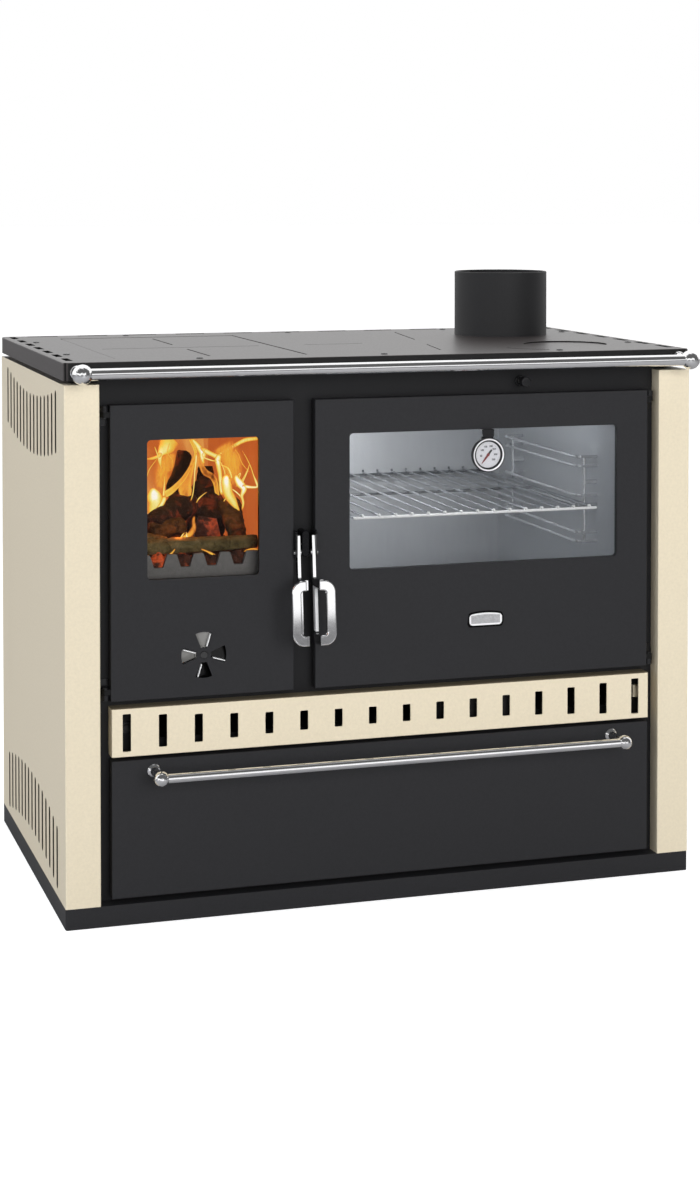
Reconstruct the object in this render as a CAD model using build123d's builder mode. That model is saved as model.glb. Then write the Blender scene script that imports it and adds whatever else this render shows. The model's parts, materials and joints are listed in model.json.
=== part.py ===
from build123d import *
import os
from math import sin, cos, radians, degrees, atan2, hypot

os.makedirs("parts", exist_ok=True)

# ---------------------------------------------------------------------------
# Driving dimensions, millimetres.
# Places are given as x from the left side, y from the front, z from the floor,
# and fx / fy turn them into the part's frame, whose origin is the centre of
# the plinth's underside: +X to the right, -Y to the front, +Z up.
# ---------------------------------------------------------------------------
W, D, H = 1000.0, 607.0, 834.0      # outer width, depth, height of the worktop
PLINTH_H = 31.0                     # height of the base tray
SHEET = 2.0                         # outer casing sheet
PANEL_TOP = 801.0                   # top of the side panels
PILLAR = 52.5                       # width of the front pillars
FRAME_Y = 27.0                      # front face of the recessed front frame
FRAME_T = 3.0                       # its thickness
WT_EDGE = 27.0                      # height of the worktop's edge
WT_PLATE = 6.0                      # worktop plate thickness
CASE_X0, CASE_X1 = 70.0, 930.0      # inner casing, outside faces
CASE_BACK = 572.0
CASE_T = 3.0
CASE_TOP = H - WT_PLATE

DOOR_Y0, DOOR_Y1 = 6.0, 23.0        # front and rear faces of both doors
DOOR_Z0, DOOR_Z1 = 331.0, 769.6
DOOR_T = 3.0
FD_X0, FD_X1 = 69.25, 349.5         # firebox door
OD_X0, OD_X1 = 383.0, 930.75        # oven door
STILE = (FD_X1 + OD_X0) / 2         # centre line between the doors
HINGE_OFF = 6.5                     # hinge axis outside each door's edge
HINGE_Y = 14.5
HINGE_R = 4.0                       # hinge pin radius
HINGE_CLEAR = 0.05

WIN_Z0, WIN_Z1 = 509.0, 716.5       # both windows
FW_X0, FW_X1 = 124.5, 295.5         # firebox window
OW_X0, OW_X1 = 437.4, 878.0         # oven window
WIN_R = 6.0

ROS_X, ROS_Z = 209.9, 392.8         # air rosette
ROS_IN, ROS_OUT = 11.0, 34.5
ROS_HALF = 22.0                     # half angle of each opening
ROS_TILT = 16.0                     # tilt of the disc's petals
ROS_LIP = 17.0                      # direction of the disc's lips, clockwise of each opening

STRIP_X0, STRIP_X1 = 69.5, 930.5    # vent strip
STRIP_Z0, STRIP_Z1 = 250.0, 322.0
SLOT_N, SLOT_FIRST, SLOT_PITCH, SLOT_W = 16, 91.7, 54.4, 12.6

DR_Z0, DR_Z1 = 39.3, 244.0          # drawer front
DR_Y0, DR_Y1 = 2.0, 20.0

RAIL_Y, RAIL_Z = -43.0, 819.5       # rail along the worktop
RAIL_R, RAIL_BALL = 8.7, 15.0
RAIL_X = 19.5
DH_Y, DH_Z = -51.0, 226.5           # drawer handle
DH_R, DH_BALL = 7.0, 11.6
DH_X = 132.6

COLLAR_X, COLLAR_Y = 844.0, 426.5   # flue collar
COLLAR_RO, COLLAR_RI = 80.0, 76.5
COLLAR_TOP = 944.0

HOB_X0, HOB_X1, HOB_Y0, HOB_Y1 = 88.0, 386.0, 62.0, 524.0   # lift-out hob plate

OVEN_X0, OVEN_X1 = 424.0, 891.0     # oven cavity
OVEN_Z0, OVEN_Z1 = 400.0, 738.0
OVEN_BACK = 556.0
OVEN_MID = (OVEN_X0 + OVEN_X1) / 2

DIAL_X, DIAL_Z = 657.7, 677.6       # oven thermometer
DAMP_X, DAMP_Z = 722.0, 788.0       # damper rod
PIVOT_Y, PIVOT_Z = 2.0, 540.0       # door lever pivots
LEVER_T = 4.5
LEVER_TILT = 5.45                   # how far the levers lean out at the bottom, degrees
GLASS_Y0, GLASS_Y1 = 14.5, 18.5     # front and rear faces of both panes


def fx(v):
    return v - W / 2


def fy(v):
    return v - D / 2


def slab(x0, x1, y0, y1, z0, z1, mode=Mode.ADD):
    """Block between two distances from the left, from the front and from the floor."""
    with Locations(((fx(x0) + fx(x1)) / 2, (fy(y0) + fy(y1)) / 2, (z0 + z1) / 2)):
        Box(x1 - x0, y1 - y0, z1 - z0, mode=mode)


def rod_y(x, z, y0, y1, r, mode=Mode.ADD):
    """Cylinder along the depth."""
    with Locations(Location((fx(x), (fy(y0) + fy(y1)) / 2, z), (90, 0, 0))):
        Cylinder(r, y1 - y0, mode=mode)


def rod_x(y, z, x0, x1, r, mode=Mode.ADD):
    """Cylinder along the width."""
    with Locations(Location(((fx(x0) + fx(x1)) / 2, fy(y), z), (0, 90, 0))):
        Cylinder(r, x1 - x0, mode=mode)


def rod_z(x, y, z0, z1, r, mode=Mode.ADD):
    """Upright cylinder."""
    with Locations((fx(x), fy(y), (z0 + z1) / 2)):
        Cylinder(r, z1 - z0, mode=mode)


def facing(y):
    """Upright plane at depth y that faces the front: extruding goes towards the front."""
    return Plane.XZ.offset(-fy(y))


def front_edges(part, y):
    """The outline edges that lie in the upright plane at depth y."""
    return part.edges().filter_by(lambda e: abs(e.bounding_box().min.Y - fy(y)) < 0.01
                                  and abs(e.bounding_box().max.Y - fy(y)) < 0.01)


def upright_edges(part, x, y):
    return part.edges().filter_by(Axis.Z).filter_by(
        lambda e: abs(e.center().X - fx(x)) < 0.05 and abs(e.center().Y - fy(y)) < 0.05)


# ---------------------------------------------------------------- base tray
with BuildPart() as plinth:
    with BuildSketch(Plane.XY):
        RectangleRounded(W, D, 4)
    extrude(amount=PLINTH_H)
    slab(3, W - 3, 3, D - 3, 3, PLINTH_H - 3, Mode.SUBTRACT)
    slab(60, W - 60, 45, D - 45, PLINTH_H - 4, PLINTH_H + 1, Mode.SUBTRACT)
plinth.part.label = "plinth"
export_step(plinth.part, "parts/plinth.step")

# ---------------------------------------------------------------- side panels
SIDE_SLOTS = [303.5 + 33.1 * (i - 7) for i in range(15)]
with BuildPart() as side_panel_left:
    slab(0, SHEET, 0, 604, PLINTH_H, PANEL_TOP)
    slab(0, PILLAR, 0, SHEET, PLINTH_H, PANEL_TOP)
    slab(PILLAR - SHEET, PILLAR, 0, FRAME_Y, PLINTH_H, PANEL_TOP)
    slab(0, 22, 604 - SHEET, 604, PLINTH_H, PANEL_TOP)
    slab(0, PILLAR, 0, FRAME_Y, PANEL_TOP - SHEET, PANEL_TOP)
    slab(0, 16, 0, 599.5, PANEL_TOP - SHEET, PANEL_TOP)
    fillet(upright_edges(side_panel_left, 0, 0) + upright_edges(side_panel_left, PILLAR, 0), 1.8)
    # two arched groups of upright air slots
    with BuildSketch(Plane.YZ.offset(fx(-1))):
        for sy in SIDE_SLOTS:
            bow = 4.4e-4 * (sy - 303.5) ** 2
            with Locations((fy(sy), 717.2 + bow)):
                SlotOverall(94, 12.5, rotation=90)
            with Locations((fy(sy), 112.6 - bow)):
                SlotOverall(94, 12.5, rotation=90)
    extrude(amount=SHEET + 2, mode=Mode.SUBTRACT)
side_panel_left.part.label = "side_panel_left"
export_step(side_panel_left.part, "parts/side_panel_left.step")

with BuildPart() as side_panel_right:
    add(mirror(side_panel_left.part, about=Plane.YZ, mode=Mode.PRIVATE))
side_panel_right.part.label = "side_panel_right"
export_step(side_panel_right.part, "parts/side_panel_right.step")

# ---------------------------------------------------------------- back panel
with BuildPart() as back_panel:
    slab(3, W - 3, 600, 602, PLINTH_H, PANEL_TOP)
    # pressed stiffening field, standing proud
    with BuildSketch(facing(600)):
        with Locations((0, 416)):
            RectangleRounded(860, 420, 20)
    extrude(amount=-3.5)
    with BuildSketch(facing(600)):
        with Locations((0, 416)):
            RectangleRounded(856, 416, 18)
    extrude(amount=-1.5, mode=Mode.SUBTRACT)
    with BuildSketch(facing(598)):
        for bx in range(-9, 10):
            for bz in (90, 720):
                with Locations((bx * 40.0, bz)):
                    SlotOverall(60, 9, rotation=90)
    extrude(amount=-8, mode=Mode.SUBTRACT)
back_panel.part.label = "back_panel"
export_step(back_panel.part, "parts/back_panel.step")

# ---------------------------------------------------------------- front frame
with BuildPart() as front_frame:
    slab(32, W - 32, FRAME_Y, FRAME_Y + FRAME_T, PLINTH_H, CASE_TOP)
    with BuildSketch(facing(FRAME_Y + 5)):
        with Locations((fx(210), 547)):
            RectangleRounded(204, 390, 8)
        with Locations((fx(OVEN_MID), (OVEN_Z0 + OVEN_Z1) / 2)):
            RectangleRounded(OVEN_X1 - OVEN_X0, OVEN_Z1 - OVEN_Z0, 8)
        with Locations((0, 141)):
            RectangleRounded(832, 200, 5)
        with Locations((fx(340), 289)):
            RectangleRounded(430, 40, 6)
        with Locations((fx(662.5), 288)):
            RectangleRounded(125, 44, 6)
        with Locations((fx(815), 289)):
            RectangleRounded(130, 40, 6)
        with Locations((fx(DAMP_X), DAMP_Z)):
            Circle(8)
    extrude(amount=8, mode=Mode.SUBTRACT)
front_frame.part.label = "front_frame"
export_step(front_frame.part, "parts/front_frame.step")

# ---------------------------------------------------------------- worktop
TOP_SCREWS = [(210, 29), (500, 29), (790, 29), (210, 576), (500, 576), (790, 576),
              (33, 162.5), (33, 444.5), (967, 162.5), (967, 444.5)]
SLITS = [((682, 523), (654, 334)), ((634, 214), (614, 92))]
POT_X, POT_Y, POT_R = 855.0, 162.0, 68.0
with BuildPart() as worktop:
    with BuildSketch(Plane.XY.offset(H - WT_EDGE)):
        RectangleRounded(W, D, 9)
    extrude(amount=WT_EDGE)
    fillet(worktop.faces().sort_by(Axis.Z)[-1].edges(), 1.6)
    slab(4, W - 4, 4, D - 4, H - WT_EDGE - 1, CASE_TOP, Mode.SUBTRACT)
    # ledge that carries the lift-out hob plate
    slab(HOB_X0 - 12, HOB_X1 + 12, HOB_Y0 - 12, HOB_Y1 + 12, CASE_TOP - 6, CASE_TOP)
    slab(HOB_X0 - 1.5, HOB_X1 + 1.5, HOB_Y0 - 1.5, HOB_Y1 + 1.5, CASE_TOP, H + 2, Mode.SUBTRACT)
    slab(HOB_X0 + 12, HOB_X1 - 12, HOB_Y0 + 12, HOB_Y1 - 12, CASE_TOP - 8, CASE_TOP + 1, Mode.SUBTRACT)
    # flue hole
    with BuildSketch(Plane.XY.offset(CASE_TOP - 2)):
        with Locations((fx(COLLAR_X), fy(COLLAR_Y))):
            Circle(COLLAR_RO + 0.3)
    extrude(amount=20, mode=Mode.SUBTRACT)
    # air slots along the left, right and back edges
    with BuildSketch(Plane.XY.offset(CASE_TOP - 2)):
        for i in range(7):
            for sx in (15.5, W - 15.5):
                with Locations((fx(sx), fy(62 + 84 * i))):
                    RectangleRounded(11, 50, 1.5)
        for i in range(11):
            with Locations((fx(68.5 + 86.3 * i), fy(592))):
                RectangleRounded(52, 12, 1.5)
    extrude(amount=20, mode=Mode.SUBTRACT)
    # expansion grooves of the right-hand half: one level, two slanting, one short arc
    with BuildSketch(Plane.XY.offset(H)) as grooves:
        with Locations((fx(491), fy(268))):
            Rectangle(98, 3.5)
        for (ax, ay), (bx_, by_) in SLITS:
            with Locations(Location(((fx(ax) + fx(bx_)) / 2, (fy(ay) + fy(by_)) / 2, 0),
                                    (0, 0, degrees(atan2(by_ - ay, bx_ - ax))))):
                Rectangle(hypot(bx_ - ax, by_ - ay), 2.5)
        with BuildLine():
            o = CenterArc((fx(POT_X), fy(POT_Y)), 141.0, 205.0, 32.0)
            n = CenterArc((fx(POT_X), fy(POT_Y)), 135.0, 205.0, 32.0)
            Line(o @ 0, n @ 0)
            Line(o @ 1, n @ 1)
        make_face()
    extrude(amount=-3, mode=Mode.SUBTRACT)
    # shallow round recess in front of the flue collar
    with BuildSketch(Plane.XY.offset(H)):
        with Locations((fx(POT_X), fy(POT_Y))):
            Circle(POT_R)
    extrude(amount=-2, mode=Mode.SUBTRACT)
    # holes of the ten fixing screws
    for px, py in TOP_SCREWS:
        rod_z(px, py, CASE_TOP - 2, H + 1, 3.05, Mode.SUBTRACT)
worktop.part.label = "worktop"
export_step(worktop.part, "parts/worktop.step")

with BuildPart() as hob_plate:
    with BuildSketch(Plane.XY.offset(CASE_TOP)):
        with Locations((fx((HOB_X0 + HOB_X1) / 2), fy((HOB_Y0 + HOB_Y1) / 2))):
            RectangleRounded(HOB_X1 - HOB_X0 - 1, HOB_Y1 - HOB_Y0 - 1, 3)
    extrude(amount=WT_PLATE - 0.3)
    chamfer(hob_plate.faces().sort_by(Axis.Z)[-1].edges(), 0.9)
    with BuildSketch(Plane.XY.offset(H)):
        hx = fx((HOB_X0 + HOB_X1) / 2)
        with Locations((hx, fy(268))):
            Rectangle(256, 3.5)
        with Locations((hx, fy(151)), (hx, fy(408))):
            Rectangle(3.5, 150)
    extrude(amount=-4, mode=Mode.SUBTRACT)
hob_plate.part.label = "hob_plate"
export_step(hob_plate.part, "parts/hob_plate.step")

with BuildPart() as flue_collar:
    with BuildSketch(Plane.XY.offset(CASE_TOP - 6)):
        with Locations((fx(COLLAR_X), fy(COLLAR_Y))):
            Circle(COLLAR_RO)
    extrude(amount=COLLAR_TOP - CASE_TOP + 6)
    chamfer(flue_collar.faces().sort_by(Axis.Z)[-1].edges(), 0.8)
    with BuildSketch(Plane.XY.offset(CASE_TOP - 6)):
        with Locations((fx(COLLAR_X), fy(COLLAR_Y))):
            Circle(COLLAR_RO + 2.5)
    extrude(amount=6)
    with BuildSketch(Plane.XY.offset(CASE_TOP - 8)):
        with Locations((fx(COLLAR_X), fy(COLLAR_Y))):
            Circle(COLLAR_RI)
    extrude(amount=200, mode=Mode.SUBTRACT)
flue_collar.part.label = "flue_collar"
export_step(flue_collar.part, "parts/flue_collar.step")

# ---------------------------------------------------------------- inner casing
with BuildPart() as body_casing:
    slab(CASE_X0, CASE_X0 + CASE_T, 30, CASE_BACK, PLINTH_H, CASE_TOP)
    slab(CASE_X1 - CASE_T, CASE_X1, 30, CASE_BACK, PLINTH_H, CASE_TOP)
    slab(CASE_X0, CASE_X1, CASE_BACK - CASE_T, CASE_BACK, PLINTH_H, CASE_TOP)
    slab(CASE_X0, CASE_X1, 30, CASE_BACK, 254, 257)
    slab(CASE_X0, 340, 30, 452, 347, 350)
body_casing.part.label = "body_casing"
export_step(body_casing.part, "parts/body_casing.step")

with BuildPart() as firebox_partition:
    slab(340, 344, 30, 456, 257, 745)
    slab(73, 344, 452, 456, 257, 745)
firebox_partition.part.label = "firebox_partition"
export_step(firebox_partition.part, "parts/firebox_partition.step")

with BuildPart() as grate_bed:
    slab(73, 340, 33, 452, 470, 474)
    slab(158, 262, 100, 390, 469, 475, Mode.SUBTRACT)
grate_bed.part.label = "grate_bed"
export_step(grate_bed.part, "parts/grate_bed.step")

with BuildPart() as firebrick_left:
    slab(73, 106, 33, 452, 474, 740)
    chamfer(firebrick_left.edges(), 1.5)
firebrick_left.part.label = "firebrick_left"
export_step(firebrick_left.part, "parts/firebrick_left.step")

with BuildPart() as firebrick_right:
    slab(308, 340, 33, 452, 474, 740)
    chamfer(firebrick_right.edges(), 1.5)
firebrick_right.part.label = "firebrick_right"
export_step(firebrick_right.part, "parts/firebrick_right.step")

with BuildPart() as firebrick_back:
    slab(106, 308, 420, 452, 474, 740)
    chamfer(firebrick_back.edges(), 1.5)
firebrick_back.part.label = "firebrick_back"
export_step(firebrick_back.part, "parts/firebrick_back.step")

with BuildPart() as fire_grate:
    slab(148, 272, 90, 400, 474, 487)
    with BuildSketch(Plane.XY.offset(470)):
        for i in range(13):
            with Locations((fx(210), fy(107 + 23 * i))):
                SlotOverall(98, 10)
    extrude(amount=30, mode=Mode.SUBTRACT)
    chamfer(fire_grate.faces().sort_by(Axis.Z)[-1].outer_wire().edges(), 1.5)
fire_grate.part.label = "fire_grate"
export_step(fire_grate.part, "parts/fire_grate.step")

with BuildPart() as log_guard:
    with BuildSketch(facing(45)) as guard_face:
        with Locations((fx(209.5), 507)):
            Rectangle(197, 66)
        for nx in (148.5, 189.5, 230.5, 271.5):
            with BuildLine():
                Polyline((fx(nx - 7), 520.5), (fx(nx + 7), 520.5), (fx(nx + 13.5), 541),
                         (fx(nx - 13.5), 541), close=True)
            make_face(mode=Mode.SUBTRACT)
        fillet(guard_face.vertices().filter_by(lambda v: v.Y > 515), 2)
    extrude(amount=7)
log_guard.part.label = "log_guard"
export_step(log_guard.part, "parts/log_guard.step")

with BuildPart() as ash_pan:
    slab(130, 290, 48, 372, 350.4, 420)
    slab(131.5, 288.5, 49.5, 370.5, 352, 421, Mode.SUBTRACT)
    slab(178, 242, 40, 48.5, 413, 415)
    slab(178, 242, 40, 42, 407, 415)
ash_pan.part.label = "ash_pan"
export_step(ash_pan.part, "parts/ash_pan.step")

# ---------------------------------------------------------------- oven
with BuildPart() as oven_box:
    slab(OVEN_X0 - 3, OVEN_X1 + 3, 30, OVEN_BACK + 3, OVEN_Z0 - 3, OVEN_Z1 + 3)
    slab(OVEN_X0, OVEN_X1, 29, OVEN_BACK, OVEN_Z0, OVEN_Z1, Mode.SUBTRACT)
oven_box.part.label = "oven_box"
export_step(oven_box.part, "parts/oven_box.step")

GUIDE_LEVELS = (516.0, 576.0, 638.5)
WIRE = 2.5
with BuildPart() as oven_rack_guides:
    for level in GUIDE_LEVELS:
        for rise in (0.0, 15.0):
            zz = level + rise
            rod_x(113, zz, 862.5, OVEN_X1, WIRE)
            rod_x(437, zz, 862.5, OVEN_X1, WIRE)
            rod_y(857.5, zz, 118, 432, WIRE)
            with Locations((fx(862.5), fy(118), zz)):
                Torus(5, WIRE, major_angle=90, rotation=(0, 0, 180))
            with Locations((fx(862.5), fy(432), zz)):
                Torus(5, WIRE, major_angle=90, rotation=(0, 0, 90))
    for ry in (117.2, 432.8):
        rod_z(871, ry, 513.5, 656, WIRE)
        rod_x(ry, 612, 871, OVEN_X1, 4)
    mirror(about=Plane.YZ.offset(fx(OVEN_MID)))
oven_rack_guides.part.label = "oven_rack_guides"
export_step(oven_rack_guides.part, "parts/oven_rack_guides.step")

RACK_Z = GUIDE_LEVELS[1] + WIRE + 0.3 + 2.2
with BuildPart() as oven_rack:
    rod_y(457.5, RACK_Z, 44, 546, 2.2)
    rod_y(857.5, RACK_Z, 44, 546, 2.2)
    for by in (44, 297.5, 531, 545):
        rod_x(by, RACK_Z, 455.3, 859.7, 2.2)
    for i in range(15):
        wx = 469.2 + 26.97 * i
        rod_y(wx, RACK_Z + 3.5, 41.5, 549, 1.8)
        with Locations((fx(wx), fy(41.5), RACK_Z + 3.6)):
            Sphere(2.5)
        rod_z(wx, 549, RACK_Z + 3.5, RACK_Z + 8, 1.9)
oven_rack.part.label = "oven_rack"
export_step(oven_rack.part, "parts/oven_rack.step")

# ---------------------------------------------------------------- flue damper
with BuildPart() as flue_partition:
    slab(640, 927, 336, 339, 741, CASE_TOP)
    slab(640, 643, 336, 569, 741, CASE_TOP)
    slab(657, 787, 335, 340, 757, 812, Mode.SUBTRACT)
flue_partition.part.label = "flue_partition"
export_step(flue_partition.part, "parts/flue_partition.step")

with BuildPart() as damper_bush:
    rod_y(DAMP_X, DAMP_Z, 23.5, FRAME_Y, 8.6)
    rod_y(DAMP_X, DAMP_Z, FRAME_Y, 36, 8)
    rod_y(DAMP_X, DAMP_Z, 20, 40, 4.06, Mode.SUBTRACT)
    fillet(front_edges(damper_bush, 23.5).sort_by(SortBy.LENGTH)[-1], 1.2)
damper_bush.part.label = "damper_bush"
export_step(damper_bush.part, "parts/damper_bush.step")

with BuildPart() as damper_rod:
    rod_y(DAMP_X, DAMP_Z, 8, 331.5, 4)
damper_rod.part.label = "damper_rod"
export_step(damper_rod.part, "parts/damper_rod.step")

with BuildPart() as damper_plate:
    slab(647, 797, 331.5, 335.5, 751, 818)
    fillet(damper_plate.edges().filter_by(Axis.Y), 6)
damper_plate.part.label = "damper_plate"
export_step(damper_plate.part, "parts/damper_plate.step")

with BuildPart() as damper_knob:
    with BuildSketch(Plane.YZ.offset(fx(DAMP_X))):
        with BuildLine():
            Polyline((fy(16), DAMP_Z), (fy(16), DAMP_Z + 5.5), (fy(11.5), DAMP_Z + 5.5),
                     (fy(8.5), DAMP_Z + 8), (fy(-2), DAMP_Z + 8), (fy(-2), DAMP_Z), close=True)
        make_face()
    revolve(axis=Axis((fx(DAMP_X), 0, DAMP_Z), (0, 1, 0)))
    fillet(front_edges(damper_knob, -2), 2.4)
    rod_y(DAMP_X, DAMP_Z, 8, 20, 4, Mode.SUBTRACT)
damper_knob.part.label = "damper_knob"
export_step(damper_knob.part, "parts/damper_knob.step")

# ---------------------------------------------------------------- soot hatch and vent strip
with BuildPart() as soot_hatch:
    slab(590, 735, 25, FRAME_Y, 258, 318)
    fillet(soot_hatch.edges().filter_by(Axis.Y), 6)
    slab(650, 675, 19, 25, 286, 289)
soot_hatch.part.label = "soot_hatch"
export_step(soot_hatch.part, "parts/soot_hatch.step")

with BuildPart() as vent_strip:
    slab(STRIP_X0, STRIP_X1, 0, FRAME_Y, STRIP_Z0, STRIP_Z1)
    fillet(front_edges(vent_strip, 0), 1.3)
    slab(STRIP_X0 + SHEET, STRIP_X1 - SHEET, SHEET, FRAME_Y + 1,
         STRIP_Z0 + SHEET, STRIP_Z1 - SHEET, Mode.SUBTRACT)
    with BuildSketch(facing(4)):
        for i in range(SLOT_N):
            t = (i - 7.5) / 7.5
            with Locations((fx(SLOT_FIRST + SLOT_PITCH * i), 285.6)):
                RectangleRounded(SLOT_W, 2 * (13.0 + 15.0 * t * t), 1.6)
    extrude(amount=6, mode=Mode.SUBTRACT)
vent_strip.part.label = "vent_strip"
export_step(vent_strip.part, "parts/vent_strip.step")

with BuildPart() as vent_strip_brackets:
    slab(STRIP_X0 + SHEET, 86, 21, FRAME_Y, 279, 298)
    slab(914, STRIP_X1 - SHEET, 21, FRAME_Y, 279, 298)
vent_strip_brackets.part.label = "vent_strip_brackets"
export_step(vent_strip_brackets.part, "parts/vent_strip_brackets.step")

# ---------------------------------------------------------------- screws
BACK_SCREWS = [(12, 60), (12, 230), (12, 416), (12, 600), (12, 775)]
with BuildPart() as casing_screws:
    for px, py in TOP_SCREWS:
        with Locations((fx(px), fy(py), H + 0.8)):
            Cone(6.2, 4.4, 1.6)
        rod_z(px, py, CASE_TOP, H + 0.2, 3.0)
        with Locations((fx(px), fy(py), H + 1.6)):
            Box(1.5, 14, 1.8, mode=Mode.SUBTRACT)
    # through the panel's rim and the side panels' rear flanges
    for sx, sz in BACK_SCREWS:
        for side in (sx, W - sx):
            rod_y(side, sz, 604, 606.4, 5)
            rod_y(side, sz, 605.4, 607, 2.2, Mode.SUBTRACT)
    # washered nuts that hold the vent strip, and the two of the soot hatch
    for nx, nz in ((95, 288), (905, 288)):
        rod_y(nx, nz, 24.6, FRAME_Y, 8.7)
        rod_y(nx, nz, 20, 24.6, 4.2)
    for nx, nz in ((597.5, 288), (727.5, 288)):
        rod_y(nx, nz, 20, 25, 4.2)
casing_screws.part.label = "casing_screws"
export_step(casing_screws.part, "parts/casing_screws.step")

# ---------------------------------------------------------------- rails and handles in round tube
with BuildPart() as towel_rail_tube:
    rod_x(RAIL_Y, RAIL_Z, RAIL_X + 7, W - RAIL_X - 7, RAIL_R)
towel_rail_tube.part.label = "towel_rail_tube"
export_step(towel_rail_tube.part, "parts/towel_rail_tube.step")

with BuildPart() as towel_rail_brackets:
    with BuildSketch(Plane.YZ.offset(fx(RAIL_X))):
        with BuildLine():
            Polyline((fy(0), RAIL_Z), (fy(0), RAIL_Z + 10.5), (fy(-2.5), RAIL_Z + 10.5),
                     (fy(-4), RAIL_Z + 9.2), (fy(-18), RAIL_Z + 6.3), (fy(-37), RAIL_Z + 6.3),
                     (fy(-37), RAIL_Z), close=True)
        make_face()
    revolve(axis=Axis((fx(RAIL_X), 0, RAIL_Z), (0, 1, 0)))
    with BuildSketch(Plane.XZ.offset(-fy(RAIL_Y))) as ball:
        with Locations((fx(RAIL_X), RAIL_Z)):
            Circle(RAIL_BALL)
            Rectangle(2 * RAIL_BALL + 2, RAIL_BALL + 2, align=(Align.CENTER, Align.MAX), mode=Mode.SUBTRACT)
    revolve(axis=Axis((0, fy(RAIL_Y), RAIL_Z), (1, 0, 0)))
    rod_x(RAIL_Y, RAIL_Z, RAIL_X + 7, RAIL_X + 30, RAIL_R, Mode.SUBTRACT)
    mirror(about=Plane.YZ)
towel_rail_brackets.part.label = "towel_rail_brackets"
export_step(towel_rail_brackets.part, "parts/towel_rail_brackets.step")

with BuildPart() as drawer_handle_tube:
    rod_x(DH_Y, DH_Z, DH_X + 5.5, W - DH_X - 5.5, DH_R)
drawer_handle_tube.part.label = "drawer_handle_tube"
export_step(drawer_handle_tube.part, "parts/drawer_handle_tube.step")

with BuildPart() as drawer_handle_brackets:
    with BuildSketch(Plane.YZ.offset(fx(DH_X))):
        with BuildLine():
            Polyline((fy(DR_Y0), DH_Z), (fy(DR_Y0), DH_Z + 10.2), (fy(DR_Y0 - 2.5), DH_Z + 10.2),
                     (fy(DR_Y0 - 4), DH_Z + 8.8), (fy(DR_Y0 - 6), DH_Z + 6.5),
                     (fy(DR_Y0 - 16), DH_Z + 5), (fy(DH_Y + 8), DH_Z + 5), (fy(DH_Y + 8), DH_Z),
                     close=True)
        make_face()
    revolve(axis=Axis((fx(DH_X), 0, DH_Z), (0, 1, 0)))
    with BuildSketch(Plane.XZ.offset(-fy(DH_Y))):
        with Locations((fx(DH_X), DH_Z)):
            Circle(DH_BALL)
            Rectangle(2 * DH_BALL + 2, DH_BALL + 2, align=(Align.CENTER, Align.MAX), mode=Mode.SUBTRACT)
    revolve(axis=Axis((0, fy(DH_Y), DH_Z), (1, 0, 0)))
    rod_x(DH_Y, DH_Z, DH_X + 5.5, DH_X + 25, DH_R, Mode.SUBTRACT)
    mirror(about=Plane.YZ)
drawer_handle_brackets.part.label = "drawer_handle_brackets"
export_step(drawer_handle_brackets.part, "parts/drawer_handle_brackets.step")

# ---------------------------------------------------------------- wood drawer
with BuildPart() as drawer_front:
    slab(69.5, 930.5, DR_Y0, DR_Y1, DR_Z0, DR_Z1)
    fillet(front_edges(drawer_front, DR_Y0), 1.4)
    slab(71.5, 928.5, DR_Y0 + 2, DR_Y1 + 1, DR_Z0 + 2, DR_Z1 - 2, Mode.SUBTRACT)
drawer_front.part.label = "drawer_front"
export_step(drawer_front.part, "parts/drawer_front.step")

with BuildPart() as drawer_box:
    slab(95, 905, DR_Y0 + 2, 565, 50, 225)
    slab(96.5, 903.5, DR_Y0 + 4, 563.5, 51.5, 226, Mode.SUBTRACT)
    slab(85, 95.5, 34, 565, 63.3, 65.3)
    slab(904.5, 915, 34, 565, 63.3, 65.3)
drawer_box.part.label = "drawer_box"
export_step(drawer_box.part, "parts/drawer_box.step")

with BuildPart() as drawer_runners:
    slab(73, 91, 33, 560, 61, 63)
    slab(73, 75, 33, 560, 61, 86)
    slab(909, 927, 33, 560, 61, 63)
    slab(925, 927, 33, 560, 61, 86)
drawer_runners.part.label = "drawer_runners"
export_step(drawer_runners.part, "parts/drawer_runners.step")

# ---------------------------------------------------------------- rope seals on the frame
with BuildPart() as door_rope_seals:
    with BuildSketch(facing(FRAME_Y)):
        for x0, x1 in ((FD_X0, FD_X1), (OD_X0, OD_X1)):
            with Locations((fx((x0 + x1) / 2), (DOOR_Z0 + DOOR_Z1) / 2)):
                RectangleRounded(x1 - x0 - 14, DOOR_Z1 - DOOR_Z0 - 14, 10)
                RectangleRounded(x1 - x0 - 34, DOOR_Z1 - DOOR_Z0 - 34, 4, mode=Mode.SUBTRACT)
    extrude(amount=3.7)
door_rope_seals.part.label = "door_rope_seals"
export_step(door_rope_seals.part, "parts/door_rope_seals.step")

# ---------------------------------------------------------------- hinges
FH_X = FD_X0 - HINGE_OFF
OH_X = OD_X1 + HINGE_OFF
LUGS = ((333.0, 341.0), (759.6, 767.6))
with BuildPart() as hinge_brackets:
    for hx_, sgn in ((FH_X, -1), (OH_X, 1)):
        for z0, z1 in LUGS:
            with BuildSketch(Plane.XY.offset(z0)):
                with Locations((fx(hx_), fy(HINGE_Y))):
                    Circle(5.8)
                with Locations((fx(hx_), fy((HINGE_Y + FRAME_Y) / 2))):
                    Rectangle(11.6, FRAME_Y - HINGE_Y)
            extrude(amount=z1 - z0)
            mid = z0 if z0 < 500 else z1 - 30
            slab(hx_ - 6.5, hx_ + 6.5, FRAME_Y - 2.5, FRAME_Y, mid, mid + 30)
            rod_z(hx_, HINGE_Y, z0 - 1, z1 + 1, HINGE_R, Mode.SUBTRACT)
hinge_brackets.part.label = "hinge_brackets"
export_step(hinge_brackets.part, "parts/hinge_brackets.step")

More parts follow.
